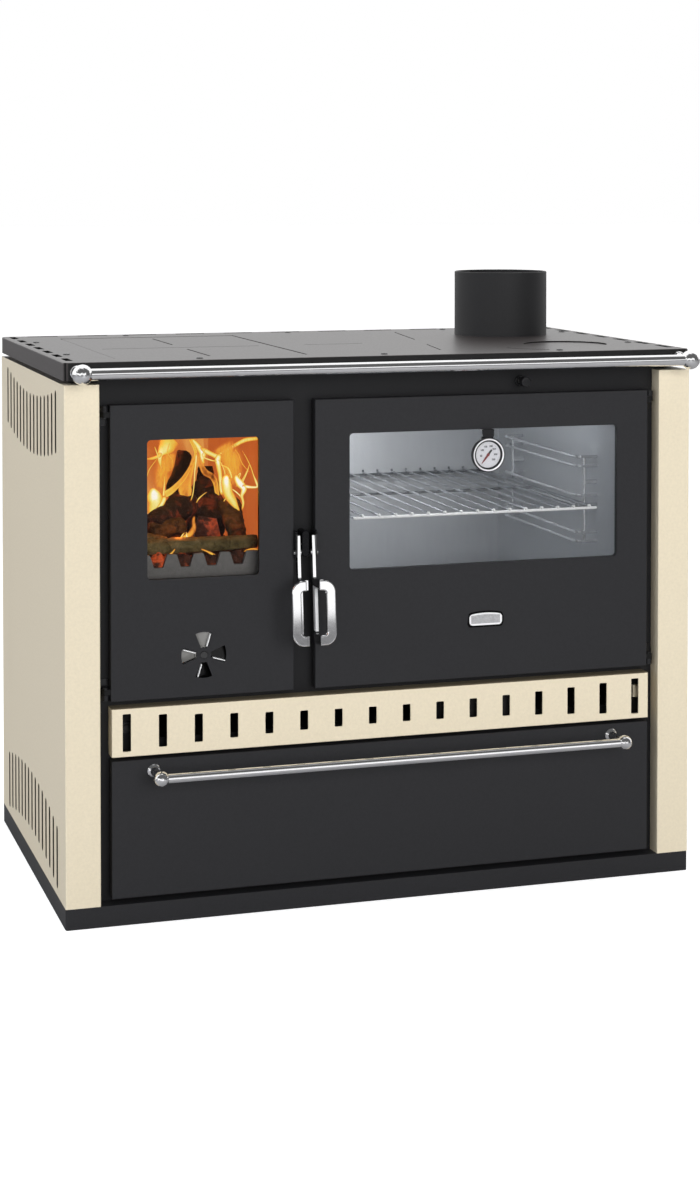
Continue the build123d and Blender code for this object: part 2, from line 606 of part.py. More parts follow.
with BuildPart() as hinge_pins:
    for hx_ in (FH_X, OH_X):
        rod_z(hx_, HINGE_Y, 332.0, 351.0, HINGE_R)
        rod_z(hx_, HINGE_Y, 749.6, 768.6, HINGE_R)
hinge_pins.part.label = "hinge_pins"
export_step(hinge_pins.part, "parts/hinge_pins.step")

# ---------------------------------------------------------------- door catch on the centre stile
CATCH_X0, CATCH_X1 = STILE - 5.8, STILE + 5.8
with BuildPart() as door_catch:
    with BuildSketch(facing(FRAME_Y)):
        with Locations((fx(STILE), 552.7)):
            SlotOverall(40, CATCH_X1 - CATCH_X0, rotation=90)
    extrude(amount=27)
    fillet(front_edges(door_catch, 0), 1.5)
    rod_x(22, 552, STILE - 13.6, STILE + 13.6, 3)
door_catch.part.label = "door_catch"
export_step(door_catch.part, "parts/door_catch.step")

# ---------------------------------------------------------------- firebox door
EARS = ((341.3, 349.3), (751.3, 759.3))
with BuildPart() as firebox_door_panel:
    slab(FD_X0, FD_X1, DOOR_Y0, DOOR_Y1, DOOR_Z0, DOOR_Z1)
    fillet(front_edges(firebox_door_panel, DOOR_Y0), 1.6)
    slab(FD_X0 + DOOR_T, FD_X1 - DOOR_T, DOOR_Y0 + DOOR_T, DOOR_Y1 - DOOR_T,
         DOOR_Z0 + DOOR_T, DOOR_Z1 - DOOR_T, Mode.SUBTRACT)
    slab(FD_X0 + 22, FD_X1 - 22, DOOR_Y1 - DOOR_T - 1, DOOR_Y1 + 1,
         DOOR_Z0 + 22, DOOR_Z1 - 22, Mode.SUBTRACT)
    # window with a turned-in collar that the pane lies against
    with BuildSketch(facing(GLASS_Y0 - 0.3)):
        with Locations((fx((FW_X0 + FW_X1) / 2), (WIN_Z0 + WIN_Z1) / 2)):
            RectangleRounded(FW_X1 - FW_X0 + 4, WIN_Z1 - WIN_Z0 + 4, WIN_R + 2)
    extrude(amount=GLASS_Y0 - 0.3 - DOOR_Y0 - 1)
    with BuildSketch(facing(GLASS_Y0 + 1)):
        with Locations((fx((FW_X0 + FW_X1) / 2), (WIN_Z0 + WIN_Z1) / 2)):
            RectangleRounded(FW_X1 - FW_X0, WIN_Z1 - WIN_Z0, WIN_R)
    extrude(amount=12, mode=Mode.SUBTRACT)
    with BuildSketch(facing(10)) as petals:
        for k in range(4):
            a0, a1 = radians(90 * k - ROS_HALF), radians(90 * k + ROS_HALF)
            am = radians(90 * k)
            cxr, czr = fx(ROS_X), ROS_Z
            with BuildLine():
                Line((cxr + ROS_IN * cos(a0), czr + ROS_IN * sin(a0)),
                     (cxr + ROS_OUT * cos(a0), czr + ROS_OUT * sin(a0)))
                ThreePointArc((cxr + ROS_OUT * cos(a0), czr + ROS_OUT * sin(a0)),
                              (cxr + ROS_OUT * cos(am), czr + ROS_OUT * sin(am)),
                              (cxr + ROS_OUT * cos(a1), czr + ROS_OUT * sin(a1)))
                Line((cxr + ROS_OUT * cos(a1), czr + ROS_OUT * sin(a1)),
                     (cxr + ROS_IN * cos(a1), czr + ROS_IN * sin(a1)))
                ThreePointArc((cxr + ROS_IN * cos(a1), czr + ROS_IN * sin(a1)),
                              (cxr + ROS_IN * cos(am), czr + ROS_IN * sin(am)),
                              (cxr + ROS_IN * cos(a0), czr + ROS_IN * sin(a0)))
            make_face()
        fillet(petals.vertices(), 1.3)
        with Locations((fx(ROS_X), ROS_Z)):
            Circle(2.6)
    extrude(amount=6, mode=Mode.SUBTRACT)
    for z0, z1 in EARS:
        with BuildSketch(Plane.XY.offset(z0)):
            with Locations((fx(FH_X), fy(HINGE_Y))):
                Circle(5.6)
            with Locations((fx(FH_X + 4.5), fy(HINGE_Y))):
                Rectangle(9.0, 11.2)
        extrude(amount=z1 - z0)
        rod_z(FH_X, HINGE_Y, z0 - 1, z1 + 1, HINGE_R + HINGE_CLEAR, Mode.SUBTRACT)
firebox_door_panel.part.label = "firebox_door_panel"
export_step(firebox_door_panel.part, "parts/firebox_door_panel.step")

with BuildPart() as firebox_door_glass:
    slab(FW_X0 - 12, FW_X1 + 12, GLASS_Y0, GLASS_Y1, WIN_Z0 - 12, WIN_Z1 + 12)
firebox_door_glass.part.label = "firebox_door_glass"
export_step(firebox_door_glass.part, "parts/firebox_door_glass.step")

with BuildPart() as firebox_glass_clips:
    for gx_ in (FW_X0 + 25, FW_X1 - 25):
        slab(gx_ - 10, gx_ + 10, 9, GLASS_Y1 + 1.5, WIN_Z1 + 12.3, WIN_Z1 + 26)
        slab(gx_ - 10, gx_ + 10, GLASS_Y1, GLASS_Y1 + 1.5, WIN_Z1 + 3, WIN_Z1 + 13)
        slab(gx_ - 10, gx_ + 10, 9, GLASS_Y1 + 1.5, WIN_Z0 - 26, WIN_Z0 - 12.3)
        slab(gx_ - 10, gx_ + 10, GLASS_Y1, GLASS_Y1 + 1.5, WIN_Z0 - 13, WIN_Z0 - 3)
        rod_y(gx_, WIN_Z1 + 19, GLASS_Y1 + 1, GLASS_Y1 + 3.2, 4)
        rod_y(gx_, WIN_Z0 - 19, GLASS_Y1 + 1, GLASS_Y1 + 3.2, 4)
firebox_glass_clips.part.label = "firebox_glass_clips"
export_step(firebox_glass_clips.part, "parts/firebox_glass_clips.step")

# rotating air disc: four tilted petals on a hub, each with a raised lip
with BuildPart() as air_rosette:
    rod_y(ROS_X, ROS_Z, 11.0, 16.0, 12.5)
    for k in range(4):
        th = 90 * k                       # direction of the petal, from +X towards +Z
        tilt = sin(radians(ROS_TILT))
        petal_plane = Plane(origin=(fx(ROS_X), fy(14.5), ROS_Z),
                            x_dir=(cos(radians(th)), 0, sin(radians(th))),
                            z_dir=(-tilt * sin(radians(th)), -cos(radians(ROS_TILT)), tilt * cos(radians(th))))
        with BuildSketch(petal_plane):
            with BuildLine():
                Polyline((9, -3.4), (9, 4.0), (36.5, 14.6), (38.5, 8), (39.2, 0), (38.5, -6.5),
                         (37, -12.2), close=True)
            make_face()
        extrude(amount=0.75, both=True)
        # lip on the clockwise side of the petal, reaching through the door's opening
        lip_plane = Plane(origin=(fx(ROS_X), fy(13.8), ROS_Z),
                          x_dir=(cos(radians(th - ROS_LIP)), 0, sin(radians(th - ROS_LIP))),
                          z_dir=(0, -1, 0))
        with BuildSketch(lip_plane):
            with Locations((23.6, 0)):
                RectangleRounded(19.4, 1.5, 0.4)
        extrude(amount=10.2)
    rod_y(ROS_X, ROS_Z, 5, 20, 2.56, Mode.SUBTRACT)
air_rosette.part.label = "air_rosette"
export_step(air_rosette.part, "parts/air_rosette.step")

with BuildPart() as rosette_rivet:
    rod_y(ROS_X, ROS_Z, 4.4, 6, 6)
    fillet(front_edges(rosette_rivet, 4.4), 1.2)
    rod_y(ROS_X, ROS_Z, 6, 17, 2.5)
    rod_y(ROS_X, ROS_Z, 9, 10.7, 4.5)
    rod_y(ROS_X, ROS_Z, 16.3, 18.3, 5)
rosette_rivet.part.label = "rosette_rivet"
export_step(rosette_rivet.part, "parts/rosette_rivet.step")

# ---------------------------------------------------------------- firebox door lever
LV_X0 = FD_X1 + 2.8                 # lever plate, left face
LV_X1 = LV_X0 + LEVER_T
with BuildPart() as firebox_handle_bracket:
    with BuildSketch(Plane.YZ.offset(fx(FD_X1))):
        with Locations((fy(6), 552)):
            RectangleRounded(24, 42, 7)
    extrude(amount=2.5)
    rod_x(PIVOT_Y, PIVOT_Z, FD_X1 - 1, FD_X1 + 4, 3.0, Mode.SUBTRACT)
firebox_handle_bracket.part.label = "firebox_handle_bracket"
export_step(firebox_handle_bracket.part, "parts/firebox_handle_bracket.step")

with BuildPart() as firebox_handle_pin:
    rod_x(PIVOT_Y, PIVOT_Z, FD_X1, LV_X1 + 0.3, 3.0)
    rod_x(PIVOT_Y, PIVOT_Z, FD_X1 - 2, FD_X1, 3.9)
    rod_x(PIVOT_Y, PIVOT_Z, LV_X1 + 0.3, LV_X1 + 2.0, 4.5)
firebox_handle_pin.part.label = "firebox_handle_pin"
export_step(firebox_handle_pin.part, "parts/firebox_handle_pin.step")

GRIP_Z0, GRIP_Z1 = 404.0, 500.5     # before the lever is tilted about its pivot
GRIP_BAR = 14.5


def lever(plate_x0, arm_end, outer):
    """Lever plate with its C-shaped grip, upright; outer is the grip's far side."""
    way = 1 if outer < arm_end else -1
    mid_z = (GRIP_Z0 + GRIP_Z1) / 2
    with BuildSketch(facing(-39.5)) as grip:
        with Locations((fx(arm_end), mid_z)):
            RectangleRounded(2 * abs(arm_end - outer), GRIP_Z1 - GRIP_Z0, 18)
            RectangleRounded(2 * (abs(arm_end - outer) - GRIP_BAR), GRIP_Z1 - GRIP_Z0 - 30, 5, mode=Mode.SUBTRACT)
        with Locations((fx(arm_end + 25 * way), mid_z)):
            Rectangle(50, 120, mode=Mode.SUBTRACT)
    extrude(grip.sketch, amount=6)
    # top arm, nose under the catch pin, step forward, two prongs to the grip
    with BuildSketch(Plane.YZ.offset(fx(plate_x0))) as plate:
        with BuildLine():
            Polyline(*[(fy(py), pz) for py, pz in
                       [(-4, 566.5), (-4, 501), (-41, 501), (-41, 486.5), (-10.5, 486.5),
                        (-10.5, 418.5), (-41, 418.5), (-41, 404), (-5.5, 404), (-0.5, 410),
                        (-0.5, 494), (8, 511), (8, 533.5), (24, 535.5), (24, 548.4), (8, 548.4),
                        (8, 566.5)]], close=True)
        make_face()
        fillet(plate.vertices().filter_by(lambda v: v.X > fy(-30)), 1.8)
    extrude(plate.sketch, amount=LEVER_T)
    rod_x(PIVOT_Y, PIVOT_Z, plate_x0 - 1, plate_x0 + LEVER_T + 1, 3.05, Mode.SUBTRACT)


LEVER_AXIS = Axis((0, fy(PIVOT_Y), PIVOT_Z), (1, 0, 0))
with BuildPart() as firebox_handle:
    lever(LV_X0, LV_X0 + 1.2, 330.5)
    fillet(front_edges(firebox_handle, -45.5), 2.0)
firebox_handle.part = firebox_handle.part.rotate(LEVER_AXIS, -LEVER_TILT)
firebox_handle.part.label = "firebox_handle"
export_step(firebox_handle.part, "parts/firebox_handle.step")

# ---------------------------------------------------------------- oven door
with BuildPart() as oven_door_panel:
    slab(OD_X0, OD_X1, DOOR_Y0, DOOR_Y1, DOOR_Z0, DOOR_Z1)
    fillet(front_edges(oven_door_panel, DOOR_Y0), 1.6)
    slab(OD_X0 + DOOR_T, OD_X1 - DOOR_T, DOOR_Y0 + DOOR_T, DOOR_Y1 - DOOR_T,
         DOOR_Z0 + DOOR_T, DOOR_Z1 - DOOR_T, Mode.SUBTRACT)
    slab(OD_X0 + 22, OD_X1 - 22, DOOR_Y1 - DOOR_T - 1, DOOR_Y1 + 1,
         DOOR_Z0 + 22, DOOR_Z1 - 22, Mode.SUBTRACT)
    # window with a turned-in collar that the pane lies against
    with BuildSketch(facing(GLASS_Y0 - 0.3)):
        with Locations((fx((OW_X0 + OW_X1) / 2), (WIN_Z0 + WIN_Z1) / 2)):
            RectangleRounded(OW_X1 - OW_X0 + 4, WIN_Z1 - WIN_Z0 + 4, WIN_R + 2)
    extrude(amount=GLASS_Y0 - 0.3 - DOOR_Y0 - 1)
    with BuildSketch(facing(GLASS_Y0 + 1)):
        with Locations((fx((OW_X0 + OW_X1) / 2), (WIN_Z0 + WIN_Z1) / 2)):
            RectangleRounded(OW_X1 - OW_X0, WIN_Z1 - WIN_Z0, WIN_R)
    extrude(amount=12, mode=Mode.SUBTRACT)
    for z0, z1 in EARS:
        with BuildSketch(Plane.XY.offset(z0)):
            with Locations((fx(OH_X), fy(HINGE_Y))):
                Circle(5.6)
            with Locations((fx(OH_X - 4.5), fy(HINGE_Y))):
                Rectangle(9.0, 11.2)
        extrude(amount=z1 - z0)
        rod_z(OH_X, HINGE_Y, z0 - 1, z1 + 1, HINGE_R + HINGE_CLEAR, Mode.SUBTRACT)
oven_door_panel.part.label = "oven_door_panel"
export_step(oven_door_panel.part, "parts/oven_door_panel.step")

with BuildPart() as oven_door_glass:
    slab(OW_X0 - 12, OW_X1 + 12, GLASS_Y0, GLASS_Y1, WIN_Z0 - 12, WIN_Z1 + 12)
    rod_y(DIAL_X, DIAL_Z, GLASS_Y0 - 1, GLASS_Y1 + 1, 3.6, Mode.SUBTRACT)
oven_door_glass.part.label = "oven_door_glass"
export_step(oven_door_glass.part, "parts/oven_door_glass.step")

with BuildPart() as oven_glass_clips:
    for gx_ in (OW_X0 + 40, OVEN_MID, OW_X1 - 40):
        slab(gx_ - 10, gx_ + 10, 9, GLASS_Y1 + 1.5, WIN_Z1 + 12.3, WIN_Z1 + 26)
        slab(gx_ - 10, gx_ + 10, GLASS_Y1, GLASS_Y1 + 1.5, WIN_Z1 + 3, WIN_Z1 + 13)
        slab(gx_ - 10, gx_ + 10, 9, GLASS_Y1 + 1.5, WIN_Z0 - 26, WIN_Z0 - 12.3)
        slab(gx_ - 10, gx_ + 10, GLASS_Y1, GLASS_Y1 + 1.5, WIN_Z0 - 13, WIN_Z0 - 3)
        rod_y(gx_, WIN_Z1 + 19, GLASS_Y1 + 1, GLASS_Y1 + 3.2, 4)
        rod_y(gx_, WIN_Z0 - 19, GLASS_Y1 + 1, GLASS_Y1 + 3.2, 4)
oven_glass_clips.part.label = "oven_glass_clips"
export_step(oven_glass_clips.part, "parts/oven_glass_clips.step")

# arched plate with a raised rim round a bare field
with BuildPart() as nameplate_blank:
    for depth, inset, rounding, amount, how in ((DOOR_Y0, 0.0, 6.0, 2.2, Mode.ADD),
                                                (DOOR_Y0 - 1.4, 1.3, 4.7, 2.0, Mode.SUBTRACT)):
        with BuildSketch(facing(depth)) as plate_face:
            px0, px1 = fx(630.6 + inset), fx(684.4 - inset)
            pz0, pz1 = 412.2 + inset, 428.8 - inset
            with BuildLine():
                Polyline((px0, pz1), (px0, pz0), (px1, pz0), (px1, pz1))
                ThreePointArc((px1, pz1), ((px0 + px1) / 2, pz1 + 2.8), (px0, pz1))
            make_face()
            fillet(plate_face.vertices(), rounding)
        extrude(amount=amount, mode=how)
    fillet(front_edges(nameplate_blank, DOOR_Y0 - 2.2), 0.55)
nameplate_blank.part.label = "nameplate_blank"
export_step(nameplate_blank.part, "parts/nameplate_blank.step")

# strap from the window's upper edge to a clamp ring behind the bezel
with BuildPart() as thermometer_bracket:
    rod_y(DIAL_X, DIAL_Z, -1.4, 0.6, 26.2)
    slab(DIAL_X - 9.5, DIAL_X + 9.5, -1.4, 0.6, 690, 706.4)
    slab(DIAL_X - 9.5, DIAL_X + 9.5, -5, 0.6, 704.5, 706.4)
    slab(DIAL_X - 9.5, DIAL_X + 9.5, -5, -3, 704.5, WIN_Z1)
    slab(DIAL_X - 9.5, DIAL_X + 9.5, -5, 9, WIN_Z1 - 2, WIN_Z1)
    rod_y(DIAL_X, DIAL_Z, -3, 2, 24.05, Mode.SUBTRACT)
thermometer_bracket.part.label = "thermometer_bracket"
export_step(thermometer_bracket.part, "parts/thermometer_bracket.step")

with BuildPart() as thermometer_case:
    with BuildSketch(Plane.YZ.offset(fx(DIAL_X))):
        with BuildLine():
            Polyline(*[(fy(py), DIAL_Z + pr) for py, pr in
                       [(4, 0), (4, 23), (3, 24), (-1.5, 24), (-1.5, 26.2), (-2.1, 26.7),
                        (-6.2, 26.7), (-7.5, 25.6), (-7.5, 24.2), (-6.8, 21.6), (-5.4, 20.3),
                        (-2.6, 20.3), (-2.6, 0)]], close=True)
        make_face()
    revolve(axis=Axis((fx(DIAL_X), 0, DIAL_Z), (0, 1, 0)))
    rod_y(DIAL_X, DIAL_Z, 3, 50, 3)
    with Locations(Location((fx(DIAL_X), fy(52), DIAL_Z), (-90, 0, 0))):
        Cone(3, 1.4, 4)
thermometer_case.part.label = "thermometer_case"
export_step(thermometer_case.part, "parts/thermometer_case.step")

with BuildPart() as thermometer_dial:
    rod_y(DIAL_X, DIAL_Z, -3.6, -2.6, 20.1)
thermometer_dial.part.label = "thermometer_dial"
export_step(thermometer_dial.part, "parts/thermometer_dial.step")

with BuildPart() as thermometer_lens:
    rod_y(DIAL_X, DIAL_Z, -6.1, -5.5, 20.1)
thermometer_lens.part.label = "thermometer_lens"
export_step(thermometer_lens.part, "parts/thermometer_lens.step")

# needle at its cold stop, pointing down and to the left
NEEDLE_TURN = -128.0                # direction from +X towards +Z, degrees
with BuildPart() as thermometer_needle:
    with BuildSketch(facing(-4.1)) as needle_face:
        with Locations((fx(DIAL_X), DIAL_Z)):
            Circle(2.4)
        with BuildLine():
            c_, s_ = cos(radians(NEEDLE_TURN)), sin(radians(NEEDLE_TURN))
            Polyline(*[(fx(DIAL_X) + u * c_ - v * s_, DIAL_Z + u * s_ + v * c_) for u, v in
                       [(-9.5, -1.4), (-9.5, 1.4), (0, 1.7), (8, 1.5), (17, 0.5), (17, -0.5), (8, -1.5), (0, -1.7)]],
                     close=True)
        make_face()
    extrude(amount=0.5)
thermometer_needle.part.label = "thermometer_needle"
export_step(thermometer_needle.part, "parts/thermometer_needle.step")

# ---------------------------------------------------------------- oven door lever, the other hand
MIRROR = Plane.YZ.offset(fx(STILE))
with BuildPart() as oven_handle_bracket:
    add(mirror(firebox_handle_bracket.part, about=MIRROR, mode=Mode.PRIVATE))
oven_handle_bracket.part.label = "oven_handle_bracket"
export_step(oven_handle_bracket.part, "parts/oven_handle_bracket.step")

with BuildPart() as oven_handle_pin:
    add(mirror(firebox_handle_pin.part, about=MIRROR, mode=Mode.PRIVATE))
oven_handle_pin.part.label = "oven_handle_pin"
export_step(oven_handle_pin.part, "parts/oven_handle_pin.step")

with BuildPart() as oven_handle:
    lever(2 * STILE - LV_X1, 373.0, 398.4)
    fillet(front_edges(oven_handle, -45.5), 2.0)
oven_handle.part = oven_handle.part.rotate(LEVER_AXIS, -LEVER_TILT)
oven_handle.part.label = "oven_handle"
export_step(oven_handle.part, "parts/oven_handle.step")
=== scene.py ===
import bpy
import bmesh
import json
import math
import random
from mathutils import Vector, Matrix, noise


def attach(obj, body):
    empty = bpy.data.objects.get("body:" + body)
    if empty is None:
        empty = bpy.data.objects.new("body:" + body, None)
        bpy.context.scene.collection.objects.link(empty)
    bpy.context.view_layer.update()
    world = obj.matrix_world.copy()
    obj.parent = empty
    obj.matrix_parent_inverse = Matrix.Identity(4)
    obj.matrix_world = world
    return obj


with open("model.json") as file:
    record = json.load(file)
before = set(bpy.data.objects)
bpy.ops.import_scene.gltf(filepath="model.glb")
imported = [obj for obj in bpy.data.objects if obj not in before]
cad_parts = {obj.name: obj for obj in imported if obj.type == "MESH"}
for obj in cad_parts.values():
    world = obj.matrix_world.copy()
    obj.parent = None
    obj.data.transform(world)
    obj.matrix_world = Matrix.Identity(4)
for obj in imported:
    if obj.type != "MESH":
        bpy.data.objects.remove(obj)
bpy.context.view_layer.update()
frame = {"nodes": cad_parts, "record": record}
N = frame["nodes"]

# distances from the left side and from the front, in millimetres, to the row frame in metres


def X(v):
    return (v - 500.0) / 1000.0


def Y(v):
    return (v - 303.5) / 1000.0


def Z(v):
    return v / 1000.0


def P(x, y, z):
    return Vector((X(x), Y(y), Z(z)))


# ---------------------------------------------------------------- materials
def new_mat(name):
    m = bpy.data.materials.new(name)
    m.use_nodes = True
    nt = m.node_tree
    nt.nodes.clear()
    out = nt.nodes.new("ShaderNodeOutputMaterial")
    b = nt.nodes.new("ShaderNodeBsdfPrincipled")
    nt.links.new(b.outputs[0], out.inputs[0])
    return m, nt, b


def coords(nt, scale=(1, 1, 1)):
    tc = nt.nodes.new("ShaderNodeTexCoord")
    mp = nt.nodes.new("ShaderNodeMapping")
    mp.inputs["Scale"].default_value = scale
    nt.links.new(tc.outputs["Object"], mp.inputs["Vector"])
    return mp.outputs[0]


def noise_tex(nt, vec, scale, detail=2.0, rough=0.5, distort=0.0):
    n = nt.nodes.new("ShaderNodeTexNoise")
    n.inputs["Scale"].default_value = scale
    n.inputs["Detail"].default_value = detail
    n.inputs["Roughness"].default_value = rough
    n.inputs["Distortion"].default_value = distort
    nt.links.new(vec, n.inputs["Vector"])
    return n.outputs["Fac"]


def ramp(nt, fac, stops, interp="LINEAR"):
    r = nt.nodes.new("ShaderNodeValToRGB")
    cr = r.color_ramp
    cr.interpolation = interp
    while len(cr.elements) > 1:
        cr.elements.remove(cr.elements[0])
    cr.elements[0].position = stops[0][0]
    cr.elements[0].color = (*stops[0][1], 1)
    for pos, col in stops[1:]:
        e = cr.elements.new(pos)
        e.color = (*col, 1)
    nt.links.new(fac, r.inputs[0])
    return r.outputs[0]


def mixf(nt, a, b, fac):
    """a + (b - a) * fac for floats given as numbers, fac a socket"""
    m = nt.nodes.new("ShaderNodeMapRange")
    m.inputs["From Min"].default_value = 0.0
    m.inputs["From Max"].default_value = 1.0
    m.inputs["To Min"].default_value = a
    m.inputs["To Max"].default_value = b
    nt.links.new(fac, m.inputs["Value"])
    return m.outputs[0]


def bump(nt, b, height, strength, distance, after=None):
    n = nt.nodes.new("ShaderNodeBump")
    n.inputs["Strength"].default_value = strength
    n.inputs["Distance"].default_value = distance
    nt.links.new(height, n.inputs["Height"])
    if after is not None:
        nt.links.new(after, n.inputs["Normal"])
    nt.links.new(n.outputs[0], b.inputs["Normal"])
    return n.outputs[0]


def scaled(c, k):
    return tuple(min(1.0, v * k) for v in c)


def powder(name, col, rough=0.5, spread=0.06, grain=900.0, bstr=0.35, spec=0.5, coarse=230.0):
    """Fine-textured powder coat."""
    m, nt, b = new_mat(name)
    v = coords(nt)
    f1 = noise_tex(nt, v, coarse, 3.0, 0.65)
    c = ramp(nt, f1, [(0.3, scaled(col, 1 - spread)), (0.7, scaled(col, 1 + spread))])
    nt.links.new(c, b.inputs["Base Color"])
    f2 = noise_tex(nt, v, grain, 2.0, 0.6)
    nt.links.new(mixf(nt, rough - 0.06, rough + 0.06, f1), b.inputs["Roughness"])
    b.inputs["Specular IOR Level"].default_value = spec
    bump(nt, b, f2, bstr, 0.0004)
    return m


def metal(name, col, rough=0.08, var=0.03, brushed=None, metallic=1.0, bstr=0.1):
    m, nt, b = new_mat(name)
    v = coords(nt, brushed if brushed else (1, 1, 1))
    f = noise_tex(nt, v, 160.0, 4.0, 0.6)
    nt.links.new(ramp(nt, f, [(0.3, scaled(col, 0.94)), (0.7, scaled(col, 1.0))]), b.inputs["Base Color"])
    nt.links.new(mixf(nt, max(0.02, rough - var), rough + var, f), b.inputs["Roughness"])
    b.inputs["Metallic"].default_value = metallic
    if bstr:
        bump(nt, b, f, bstr, 0.0002)
    return m


def math_node(nt, op, a, b=None, clamp=False):
    n = nt.nodes.new("ShaderNodeMath")
    n.operation = op
    n.use_clamp = clamp
    for i, v in enumerate((a, b)):
        if v is None:
            continue
        if isinstance(v, (int, float)):
            n.inputs[i].default_value = v
        else:
            nt.links.new(v, n.inputs[i])
    return n.outputs[0]


def axes(nt):
    tc = nt.nodes.new("ShaderNodeTexCoord")
    sx = nt.nodes.new("ShaderNodeSeparateXYZ")
    nt.links.new(tc.outputs["Object"], sx.inputs[0])
    return sx.outputs


def inside(nt, v, lo, hi):
    """1 where lo < v < hi"""
    return math_node(nt, "MULTIPLY", math_node(nt, "GREATER_THAN", v, lo), math_node(nt, "LESS_THAN", v, hi))


def every(nt, *socks):
    r = socks[0]
    for s in socks[1:]:
        r = math_node(nt, "MULTIPLY", r, s)
    return r


def either(nt, *socks):
    r = socks[0]
    for s in socks[1:]:
        r = math_node(nt, "MAXIMUM", r, s)
    return r


def masked(m, mask_of, col, rough=None):
    """Gives a material a second colour where the mask built by mask_of(nt, x, y, z) is 1."""
    nt = m.node_tree
    b = next(n for n in nt.nodes if n.type == "BSDF_PRINCIPLED")
    x, y, z = axes(nt)
    mask = mask_of(nt, x, y, z)
    src = b.inputs["Base Color"].links[0].from_socket
    mix = nt.nodes.new("ShaderNodeMix")
    mix.data_type = "RGBA"
    nt.links.new(mask, mix.inputs[0])
    nt.links.new(src, mix.inputs[6])
    tint = ramp(nt, noise_tex(nt, coords(nt), 400.0, 2.0), [(0.3, scaled(col, 0.85)), (0.7, scaled(col, 1.15))])
    nt.links.new(tint, mix.inputs[7])
    nt.links.new(mix.outputs[2], b.inputs["Base Color"])
    if rough is not None:
        rs = b.inputs["Roughness"].links[0].from_socket
        nt.links.new(mixn(nt, rs, rough, mask), b.inputs["Roughness"])
    return m


def mixn(nt, a, b, fac):
    """a + (b - a) * fac with a and fac sockets"""
    d = math_node(nt, "SUBTRACT", b, a)
    return math_node(nt, "ADD", a, math_node(nt, "MULTIPLY", d, fac))


M = {}
CREAM = (0.80, 0.71, 0.535)
M["cream"] = powder("cream_coat", CREAM, 0.48, 0.035, 700.0, 0.55, 0.4)
M["anthracite"] = powder("anthracite_coat", (0.022, 0.022, 0.024), 0.55, 0.10, 900.0, 0.25, 0.35)
M["frame_black"] = powder("frame_coat", (0.010, 0.010, 0.011), 0.5, 0.10, 900.0, 0.2, 0.35)
M["worktop_plate"] = powder("plate_coat", (0.040, 0.0365, 0.037), 0.38, 0.12, 500.0, 0.2, 0.5)
M["collar_black"] = powder("collar_coat", (0.018, 0.018, 0.019), 0.5, 0.10, 900.0, 0.2, 0.4)
M["back_steel"] = metal("galvanised_sheet", (0.42, 0.43, 0.45), 0.42, 0.08, None, 0.8, 0.15)
M["inner_steel"] = powder("heat_dulled_steel", (0.035, 0.033, 0.032), 0.6, 0.25, 500.0, 0.3, 0.4, 60.0)
M["oven_steel"] = metal("oven_sheet", (0.49, 0.505, 0.525), 0.38, 0.06, (1, 1, 0.12), 0.6, 0.1)
M["firebrick"] = powder("firebrick", (0.36, 0.22, 0.12), 0.9, 0.25, 300.0, 0.8, 0.2, 90.0)
M["cast_grate"] = powder("cast_iron", (0.075, 0.068, 0.064), 0.75, 0.2, 350.0, 0.8, 0.3, 120.0)
M["rope_seal"] = powder("rope", (0.03, 0.03, 0.03), 0.95, 0.2, 400.0, 0.8, 0.1)
M["rack_wire"] = metal("rack_chrome", (0.80, 0.81, 0.83), 0.16, 0.04, None, 1.0, 0.05)
M["chrome"] = metal("chrome", (0.90, 0.90, 0.91), 0.06, 0.02, None, 1.0, 0.03)
M["zinc"] = metal("zinc", (0.55, 0.55, 0.54), 0.35, 0.08, None, 1.0, 0.1)
M["black_metal"] = powder("black_gloss", (0.008, 0.008, 0.009), 0.2, 0.1, 700.0, 0.05, 0.5)
M["disc_steel"] = metal("disc_steel", (0.62, 0.62, 0.63), 0.16, 0.04, None, 1.0, 0.08)
M["plate_steel"] = metal("plate_steel", (0.86, 0.86, 0.87), 0.14, 0.04, None, 1.0, 0.05)
M["gauge_case"] = metal("gauge_case", (0.28, 0.28, 0.29), 0.18, 0.04, None, 1.0, 0.05)
M["dial_white"] = powder("dial_white", (0.62, 0.62, 0.65), 0.35, 0.02, 900.0, 0.02, 0.5)
M["needle_red"] = powder("needle_red", (0.42, 0.03, 0.02), 0.35, 0.05, 900.0, 0.02, 0.5)


def glass_mat(name, col, alpha, rough):
    m, nt, b = new_mat(name)
    v = coords(nt)
    f = noise_tex(nt, v, 12.0, 2.0, 0.5)
    nt.links.new(ramp(nt, f, [(0.3, scaled(col, 0.95)), (0.7, scaled(col, 1.05))]), b.inputs["Base Color"])
    nt.links.new(mixf(nt, rough, rough + 0.03, f), b.inputs["Roughness"])
    b.inputs["Alpha"].default_value = alpha
    b.inputs["Specular IOR Level"].default_value = 1.0
    return m


M["glass"] = glass_mat("stove_glass", (0.05, 0.055, 0.06), 0.10, 0.03)
M["lens_glass"] = glass_mat("lens_glass", (0.8, 0.8, 0.8), 0.03, 0.02)
next(n for n in M["lens_glass"].node_tree.nodes if n.type == "BSDF_PRINCIPLED").inputs["Specular IOR Level"].default_value = 0.3

# ---- finishes of single pieces: the same slot, with painted shade on its edges and insides, painted highlights, and pressed fields
OWN = {}


